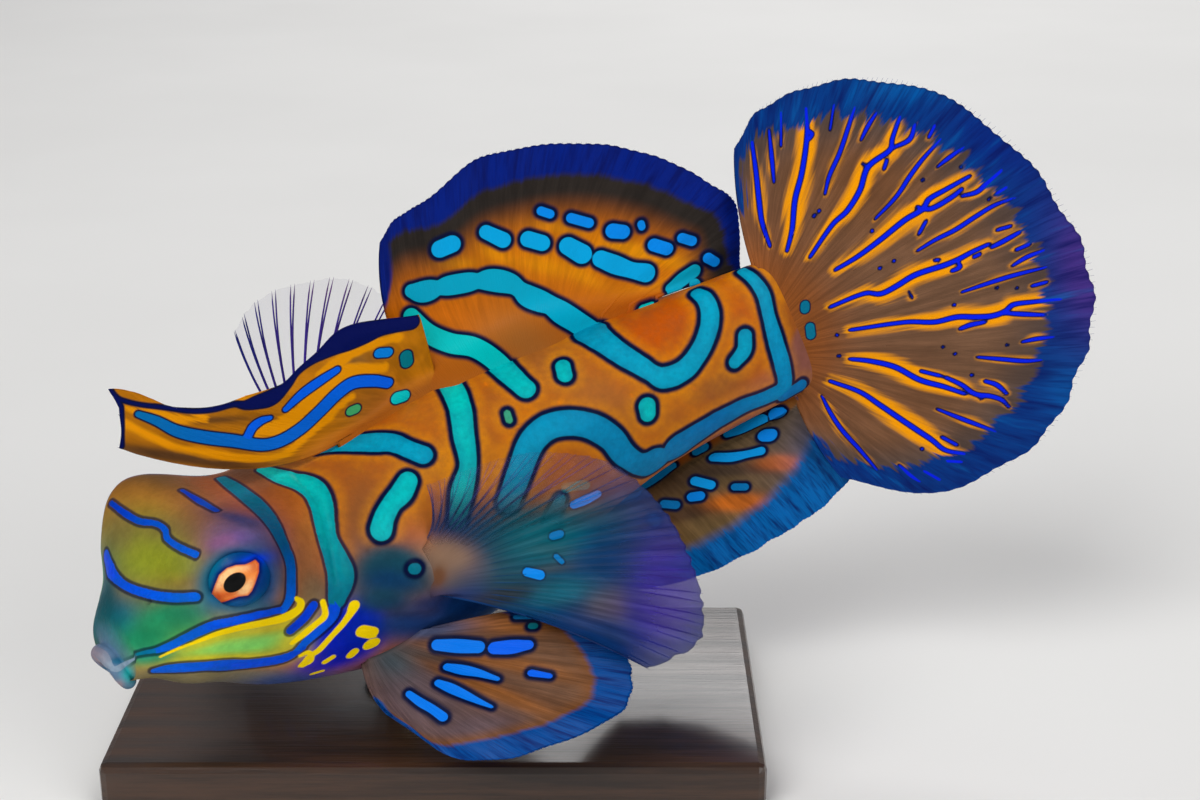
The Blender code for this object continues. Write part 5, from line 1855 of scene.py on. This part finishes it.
PELVIC_MARKS = (
    Stroke(((437, 645), (458, 646), (479, 647)), (11, 14, 12), Ink.PELVIC_BLUE),
    Stroke(((494, 648), (512, 647), (529, 645)), (12, 14, 9), Ink.LINE_BLUE),
    Stroke(((447, 667), (462, 670), (478, 673), (498, 679)), (7, 10, 8, 4), Ink.PELVIC_BLUE),
    Stroke(((531, 673), (550, 676)), (7, 5), Ink.LINE_BLUE),
    Stroke(((438, 683), (450, 688), (463, 694), (478, 701), (492, 707)), (7, 10, 9, 6, 3),
           Ink.PELVIC_BLUE),
    Stroke(((409, 694), (420, 702), (432, 709), (443, 717)), (7, 9, 9, 10), Ink.PELVIC_BLUE),
    Stroke(((531, 626), (535, 626)), 6, Ink.TEAL),
    Stroke(((515, 617), (532, 617)), 4, Ink.BAND_BLUE),
)

PECTORAL_MARKS = (
    Stroke(((527, 572), (540, 575)), (9, 10), Ink.FIN_BLUE),
    Stroke(((574, 505), (586, 500), (598, 494)), (8, 9, 7), Ink.FIN_BLUE),
    Stroke(((566, 488), (585, 485)), (10, 10), Ink.TEAL),
    Stroke(((553, 536), (560, 534)), 8, Ink.BAND_BLUE),
    Stroke(((556, 556), (562, 562)), 5, Ink.BAND_BLUE),
)


def stroke_set(lines: tuple[Points, ...], width: float, ink: Ink, taper: float = 0.5
               ) -> tuple[Stroke, ...]:
    """Strokes of one width and ink, whose ends are narrower by the taper."""
    made = []
    for line in lines:
        share = np.abs(np.linspace(-1, 1, len(line)))
        widths = tuple(width * (1 - taper * share**2))
        made.append(Stroke(line, widths, ink))
    return tuple(made)


def make_fins() -> list[Fin]:
    """Every fin with its paint, in photographed places."""
    plain = FinFinish("fin_plain", outline=0.42, streaks=46.0, jag=0.1, pale=0.0)
    ragged = FinFinish("fin_ragged", outline=0.36, streaks=40.0, jag=0.6)
    caudal = FinFinish("caudal", outline=0.12, halo=(-0.4, 0.12), streaks=70.0, jag=0.6)
    first = FinFinish("first_dorsal", outline=0.16, halo=(-0.12, 0.2), streaks=14.0, jag=0.1)
    sheer = FinFinish("pectoral_film", outline=0.16, streaks=60.0, jag=0.6, sheer=True)
    sheer_rays = FinFinish("pectoral_rays", outline=0.16, streaks=60.0, jag=0.6, sheer=True)
    caudal_sheet_ = caudal_sheet()
    caudal_sheet_.fit(((735, 150), (743, 128), (760, 108), (790, 92), (830, 80), (875, 77),
                       (920, 85), (962, 103), (1000, 130), (1034, 163), (1060, 200),
                       (1083, 240), (1096, 280), (1096, 318), (1088, 355), (1072, 395),
                       (1050, 432), (1025, 455), (998, 472), (960, 486), (922, 497),
                       (890, 490), (860, 470)))
    dorsal_sheet = median_sheet(
        0.0, (25.3, 27.3, 28.8, 30.2, 31.5, 32.7, 33.9, 35.1, 36.3, 37.6, 38.9, 40.2),
        ((27.0, 0, 16.9), (29.0, 0, 17.7), (31.1, 0, 18.0), (33.9, 0, 18.4), (36.4, 0, 18.1),
         (39.2, 0, 17.0), (42.1, 0, 15.3), (44.7, -.2, 12.8), (46.7, -.8, 9.7), (47.3, -1.2, 7.7),
         (46.9, -1.6, 5.3), (46.1, -1.9, 3.4)), ((-2.2, 0, 0), (0.6, -0.3, 0.2)), 9)
    dorsal_sheet.fit(((408, 313), (385, 290), (378, 250), (386, 230), (400, 215), (440, 190),
                      (468, 161), (510, 149), (565, 142), (590, 142), (638, 150), (684, 166),
                      (706, 181), (735, 198), (739, 215), (740, 262)))
    first_sheet = median_sheet(
        0.0, (17.4, 18.7, 20.0, 21.3, 22.7, 24.1, 25.8),
        ((2.2, 0, 14.6), (3.6, 0, 18.6), (6.6, 0, 14.7), (10.0, 0, 13.1), (13.7, 0, 13.1),
         (18.0, 0, 14.4), (23.5, 0, 13.3)), ((0.8, 0, -4.6), (0, 0, 0.3)), 4, 16.0, 0.05)
    first_sheet.keys[1][1, 2] -= 2.4
    first_sheet.fit(((81, 360), (95, 376), (105, 389), (116, 396), (137, 402), (165, 405),
                     (193, 408), (214, 406), (235, 399), (256, 391), (270, 390), (288, 376),
                     (312, 356), (325, 344), (340, 328), (375, 320), (412, 315)))
    anal_sheet = median_sheet(
        math.pi, (28.5, 30.8, 33.1, 35.4, 37.7, 40.0, 42.6, 45.8),
        ((30, -.2, -12.3), (32.6, -.3, -13.4), (35.2, -.5, -13.9), (37.8, -.7, -14.0),
         (40.3, -.9, -13.8), (42.7, -1.1, -13.5), (45.1, -1.4, -12.9), (47.9, -1.9, -11.5)),
        ((-0.6, 0, 0), (1.0, -0.7, -0.3)), 8)
    left_tips = ((1.7, 5.9, 5.4), (3.3, 6.9, 5.9), (5.3, 7.8, 6.2), (7.4, 8.6, 6.1),
                 (9.2, 9.6, 5.6), (11.0, 10.8, 4.7), (12.2, 12.3, 3.2), (12.7, 14.3, 1.5),
                 (12.4, 16.6, -0.1), (11.6, 18.7, -1.6), (10.1, 20.2, -2.8),
                 (6.9, 19.8, -3.1))
    left_pectoral = paired_sheet(1, 19.0, ((19.6, 66), (19.3, 80), (18.9, 94)), left_tips,
                                 ((0.3, 1.1, 0.2), (0.8, -0.4, 0.6)), 22)
    right_pectoral = paired_sheet(
        -1, 18.0, ((17.0, 66), (17.3, 80), (17.6, 94)),
        ((-1.2, 13.7, 9.1), (0.4, 14.3, 10.0), (2.4, 14.3, 10.4), (4.4, 14.0, 10.2),
         (6.3, 13.5, 9.9), (7.9, 12.8, 8.9), (9.2, 11.8, 7.4), (9.9, 10.8, 5.0),
         (9.9, 10.2, 2.0), (9.2, 9.8, -1.1)), ((-0.8, 0.4, 0.2), (0.2, 0.8, 0.2)), 15)
    pelvic = dict(station=14.0, roots=((13.4, 124), (15.6, 119), (18.2, 113)),
                  tips=((-0.9, 10.1, -5.4), (0.5, 13.7, -6.7), (2.6, 16.3, -6.3),
                        (5.0, 18.0, -5.4), (7.5, 19.1, -4.5), (9.5, 19.2, -3.9),
                        (10.6, 18.2, -2.7), (11.0, 16.8, -1.6), (11.0, 15.2, -0.8),
                        (10.3, 13.3, -0.5)),
                  bow=((-0.8, 0.3, -0.3), (0.4, 0.2, 0.6)), rays=9)
    fins = [
        Fin("caudal_fin", "caudal_fin", caudal_sheet_, caudal, grid=(440, 104),
            thick=(1.3, 0.2), ray=(0.2, 0.035), ground=Ink.TAIL_GREY, notch=0.016,
            patches=(Patch((790, 335), (50, 84), Ink.TAIL_ROOT, 0.95, 12, 4),
                     Patch((765, 325), (18, 70), Ink.ORANGE, 0.5, 12, 4),
                     Patch((860, 180), (70, 60), Ink.BROWN, 0.55, 0, 3),
                     Patch((900, 400), (60, 50), Ink.BROWN, 0.4, 0, 3)),
            marks=(*stroke_set(CAUDAL_MAIN, 4.2, Ink.TAIL_LINE, 0.4),
                   *stroke_set(CAUDAL_SIDE, 3.4, Ink.TAIL_LINE, 0.5),
                   *stroke_set(CAUDAL_TWIGS, 3.8, Ink.TAIL_LINE, 0.3),
                   *stroke_set(tuple((spot,) for spot in CAUDAL_DOTS), 3.4, Ink.TAIL_LINE, 0),
                   Stroke(((805, 305), (805, 309)), 9, Ink.TAIL_SPOT),
                   Stroke(((810, 327), (811, 335)), 9, Ink.TAIL_SPOT), BANDS[4]),
            halos=(*stroke_set(CAUDAL_MAIN[1:], 25, Ink.AMBER, 0.5),
                   *stroke_set(CAUDAL_MAIN[:1], 14, Ink.AMBER, 0.6),
                   *stroke_set(CAUDAL_SIDE, 12, Ink.AMBER, 0.6),
                   *stroke_set(CAUDAL_TWIGS, 13, Ink.AMBER, 0.3)),
            glow=Ink.AMBER, rim=Ink.TAIL_RIM,
            rim_patches=(Patch((1088, 270), (30, 66), Ink.DEEP_VIOLET, 0.8, 10, 4),
                         Patch((1000, 145), (60, 24), Ink.MARGIN, 0.6, -35, 3),
                         Patch((900, 86), (46, 16), Ink.SEA, 0.6, 0, 3),
                         Patch((1070, 390), (26, 26), Ink.SEA, 0.5, 0, 3)),
            margin=((0, 1.2), (0.08, 1.8), (0.18, 2.2), (0.3, 2.5), (0.5, 2.7), (0.65, 3.1),
                    (0.8, 3.3), (0.92, 2.9), (1, 2.0)), sides=(0.4, 0.6), side_from=0.3,
            dusk=(Ink.TAIL_DUSK, 0.2, 3.4), shade=0.55, start=-0.1),
        Fin("second_dorsal_fin", "second_dorsal_fin", dorsal_sheet, plain, grid=(300, 110),
            ground=Ink.FIN_ORANGE, thick=(2.0, 0.2), side_from=0.5, flare=0.26, blend=0.4,
            patches=(Patch((450, 316), (66, 13), Ink.ORANGE, 0.6, -14, 4),
                     Patch((560, 335), (50, 20), Ink.TAN, 0.5, -35, 3),
                     Patch((457, 263), (20, 6), Ink.AMBER, 0.7, 0, 3),
                     Patch((495, 254), (18, 6), Ink.AMBER, 0.7, -25, 3),
                     Patch((543, 265), (24, 8), Ink.AMBER, 0.7, -15, 3),
                     Patch((585, 277), (24, 7), Ink.AMBER, 0.7, -25, 3),
                     Patch((560, 228), (30, 6), Ink.AMBER, 0.6, -8, 3),
                     Patch((630, 250), (30, 8), Ink.AMBER, 0.9, -10, 3),
                     Patch((672, 262), (24, 7), Ink.AMBER, 0.7, -10, 3),
                     Patch((645, 288), (26, 7), Ink.AMBER, 0.7, 10, 3)),
            marks=DORSAL_SPOTS + BANDS[:2], glow=Ink.AMBER,
            margin=((0, 0.9), (0.1, 1.0), (0.25, 2.1), (0.4, 1.9), (0.6, 1.8), (0.75, 1.5),
                    (0.85, 1.1), (0.93, 0.7), (1, 0.2)), sides=(0.9, 0.0),
            dusk=(Ink.SOOT, 1.0, 4.2), shade=0.6, flare_to=0.75, notch=0.004),
        Fin("first_dorsal_fin", "first_dorsal_fin", first_sheet, first, grid=(150, 160),
            thick=(0.3, 0.24), ray=(0.14, 0.06), levels=1, ground=Ink.GOLD, blend=0.3,
            # The umber patch at (185, 458) is painted shadow in the fold along the fin's lower
            # edge, where it meets the head.
            patches=(Patch((185, 458), (110, 7), Ink.UMBER, 0.9, -8, 4),
                     Patch((215, 420), (38, 3.5), Ink.UMBER, 0.7, 3, 3),
                     Patch((354, 367), (16, 10), Ink.OLIVE, 0.7, 30, 3),
                     Patch((300, 470), (60, 12), Ink.TAN, 0.8, 10, 3),
                     Patch((385, 412), (34, 26), Ink.TAN, 0.8, 0, 4)),
            marks=FIRST_DORSAL_MARKS + FIRST_DORSAL_DARK, halos=FIRST_DORSAL_GLOW,
            glow=Ink.AMBER, shade=0.55, rim=Ink.NAVY, start=-0.055),
        Fin("anal_fin", "anal_fin", anal_sheet, ragged, grid=(190, 100), ground=Ink.OLIVE,
            thick=(1.5, 0.2), side_from=0.35, blend=0.06,
            patches=(Patch((660, 490), (60, 18), Ink.UMBER, 0.6, 20, 3),
                     Patch((690, 512), (52, 8), Ink.SOOT, 0.8, 14, 4),
                     Patch((735, 470), (44, 6), Ink.SOOT, 0.6, 4, 4),
                     Patch((738, 502), (30, 9), Ink.ORANGE, 0.9, 2, 5),
                     Patch((780, 463), (24, 8), Ink.ORANGE, 0.85, 0, 5),
                     Patch((700, 470), (60, 9), Ink.UMBER, 0.5, 20, 3),
                     Patch((832, 474), (30, 46), Ink.SEA, 0.9, 0, 3),
                     Patch((640, 520), (30, 16), Ink.TAN, 0.5, -20, 3)),
            marks=ANAL_MARKS, rim=Ink.ANAL_RIM,
            margin=((0, 1.7), (0.35, 1.9), (0.55, 2.0), (0.75, 2.6), (0.9, 3.5), (1, 4.6)),
            sides=(0.5, 1.3), dusk=(Ink.SEA, 0.0, 1.2), shade=0.5),
        Fin("pectoral_fin_left", "pectoral_fin_left", left_pectoral, sheer, grid=(190, 100),
            thick=(1.2, 0.14), ray=(0.12, 0.035), levels=1, ground=Ink.DEEP_BLUE, flare=0.25,
            fork=0.8, blend=0.25,
            patches=(Patch((520, 480), (90, 34), Ink.PURPLE_GREY, 0.9, 0, 4),
                     Patch((560, 520), (60, 26), Ink.DEEP_TEAL, 0.9, 0, 4),
                     Patch((556, 550), (34, 5), Ink.BROWN, 0.8, -4, 4),
                     Patch((560, 566), (30, 5), Ink.BROWN, 0.7, 8, 4),
                     Patch((552, 504), (40, 10), Ink.OLIVE, 0.5, -10, 4),
                     Patch((608, 604), (22, 24), Ink.OLIVE, 0.9, 0, 4),
                     Patch((664, 590), (40, 56), Ink.VIOLET, 0.95, 0, 4),
                     Patch((540, 540), (60, 36), Ink.DEEP_TEAL, 0.8, 0, 4),
                     Patch((600, 640), (30, 26), Ink.DEEP_BLUE, 0.9, 0, 4),
                     Patch((505, 576), (26, 26), Ink.OPERCLE, 0.8, 0, 4),
                     Patch((598, 560), (30, 34), Ink.DEEP_BLUE, 0.9, 0, 4),
                     Patch((545, 540), (44, 22), Ink.TEAL, 0.5, 8, 4),
                     Patch((558, 592), (34, 14), Ink.TEAL, 0.6, 10, 4),
                     Patch((500, 596), (40, 9), Ink.SOOT, 0.7, 12, 4),
                     Patch((448, 556), (24, 14), Ink.PEACH, 0.8, -12, 4)),
            ray_ground=Ink.DEEP_BLUE, ray_cover=0.12,
            ray_patches=(Patch((520, 462), (120, 38), Ink.VIOLET, 0.95, 0, 4),
                         Patch((665, 590), (46, 56), Ink.VIOLET, 0.95, 0, 4),
                         Patch((545, 545), (70, 40), Ink.DEEP_TEAL, 0.9, 0, 4),
                         Patch((608, 604), (22, 22), Ink.OLIVE, 0.8, 0, 4),
                         Patch((598, 560), (28, 30), Ink.DEEP_BLUE, 0.9, 0, 4),
                         Patch((446, 556), (22, 14), Ink.PEACH, 0.7, -12, 4)),
            marks=PECTORAL_MARKS, edging=0.5, rim=Ink.VIOLET, shade=0.55, cover=0.55,
            cover_patches=(Patch((560, 545), (90, 50), Ink.UMBER, 0.85, 10, 4),
                           Patch((500, 585), (80, 36), Ink.UMBER, 1.0, 15, 5),
                           Patch((600, 630), (56, 44), Ink.UMBER, 0.95, 35, 4),
                           Patch((500, 462), (120, 40), Ink.CLEAR, 0.9, -6, 5),
                           Patch((448, 490), (40, 26), Ink.CLEAR, 0.6, 0, 4)),
            ray_finish=sheer_rays),
        Fin("pectoral_fin_right", "pectoral_fin_right", right_pectoral, sheer,
            grid=(190, 100), thick=(1.0, 0.14), ray=(0.15, 0.05), levels=1, fork=0.4,
            ground=Ink.VIOLET, ray_ground=Ink.VIOLET, ray_cover=0.9,
            ray_patches=(Patch((240, 340), (30, 60), Ink.MARGIN, 0.9, 0, 4),
                         Patch((330, 280), (60, 20), Ink.PURPLE, 0.5, 0, 4)),
            edging=0.5, rim=Ink.VIOLET, shade=0.5, cover=0.05, ray_finish=sheer_rays),
    ]
    fins.append(Fin("pelvic_fin_left", "pelvic_fin_left", paired_sheet(1, **pelvic), plain,
                    grid=(180, 100), thick=(1.2, 0.2), ground=Ink.PELVIC_BROWN, side_from=0.3,
                    patches=(Patch((420, 695), (56, 46), Ink.MAUVE, 0.8, 0, 4),
                             Patch((480, 730), (44, 18), Ink.MAUVE, 0.8, 10, 4),
                             Patch((450, 658), (46, 6), Ink.SOOT, 0.9, -6, 4),
                             Patch((455, 678), (40, 4), Ink.SOOT, 0.7, -22, 4),
                             Patch((508, 634), (34, 5), Ink.SOOT, 0.6, -6, 4),
                             Patch((395, 655), (26, 22), Ink.DEEP_TEAL, 0.7, 0, 3),
                             Patch((455, 640), (60, 7), Ink.UMBER, 0.8, 0, 4),
                             Patch((470, 682), (60, 5), Ink.UMBER, 0.6, -26, 4),
                             Patch((430, 630), (50, 8), Ink.BLUE_TEAL, 0.7, 8, 4),
                             Patch((520, 622), (46, 12), Ink.TAN, 0.7, 0, 4),
                             Patch((505, 662), (80, 7), Ink.TAN, 0.6, -12, 4),
                             Patch((500, 694), (70, 7), Ink.TAN, 0.6, -22, 4)),
                    marks=PELVIC_MARKS, rim=Ink.MARGIN_SEA,
                    margin=((0, 0.3), (0.12, 1.2), (0.25, 2.0), (0.4, 2.0), (0.6, 2.2),
                            (0.8, 3.0), (0.92, 3.4), (1, 2.8)), sides=(0.28, 0.5),
                    dusk=(Ink.BROWN, 0.0, 1.4), shade=0.5))
    fins.append(Fin("pelvic_fin_right", "pelvic_fin_right", paired_sheet(-1, **pelvic), plain,
                    grid=(180, 100), thick=(1.2, 0.2), rim=Ink.MARGIN_SEA, shade=0.5,
                    like=fins[-1]))
    return fins


@dataclass
class Studio:
    """Pale floor, soft lights and an even surround."""

    floor_size: float = 3.0
    keys: tuple = (("key", (-0.22, -0.34, 0.42), 0.30, 2.25),
                   ("fill", (0.34, -0.30, 0.22), 0.34, 0.95),
                   ("rim", (0.10, 0.42, 0.36), 0.26, 1.2))
    aim: tuple[float, float, float] = (0.006, 0.0, 0.02)

    def build(self) -> None:
        """Lay the floor, hang the lights aimed at the fish, and light the surround."""
        g = Graph("floor")
        cloud = g.noise(g.place(), 14, 3)
        g.set(Base__Color=g.mix(g.ramp(cloud, 0.3, 0.7), (0.80, 0.79, 0.77, 1),
                                (0.77, 0.76, 0.74, 1)), Roughness=0.85)
        half = self.floor_size / 2 / MM
        places = np.array([(-half, -half, 0), (half, -half, 0), (half, half, 0),
                           (-half, half, 0)], float)
        add_mesh("floor", places, [(0, 1, 2, 3)], {}, g.material)
        for name, where, size, power in self.keys:
            data = bpy.data.lights.new(name, "AREA")
            data.energy, data.size = power, size
            lamp = bpy.data.objects.new(name, data)
            lamp.location = where
            lamp.rotation_mode = "QUATERNION"
            lamp.rotation_quaternion = (Vector(self.aim) - Vector(where)).to_track_quat("-Z", "Y")
            bpy.context.scene.collection.objects.link(lamp)
        world = bpy.data.worlds.new("surround")
        world.use_nodes = True
        back = world.node_tree.nodes["Background"]
        back.inputs["Color"].default_value = (0.92, 0.94, 1.0, 1.0)
        back.inputs["Strength"].default_value = 0.2
        bpy.context.scene.world = world
        bpy.context.scene.view_settings.view_transform = "Standard"


def dress_stand(nodes: dict[str, bpy.types.Object]) -> None:
    """Give the base its wood and the rod its brass."""
    for name, finish in (("stand_base", WoodFinish()), ("stand_rod", BrassFinish())):
        nodes[name].material_slots[0].material = finish.build()
        LOG.info("%s: dressed", name)


def main() -> None:
    """Build the model round the frame."""
    logging.basicConfig(level=logging.INFO, format="%(message)s")
    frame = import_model()
    LENS.build()
    Studio().build()
    Skin().build()
    EYES.build()
    for fin in make_fins():
        fin.build()
    dress_stand(frame["nodes"])


if __name__ == "__main__":
    main()
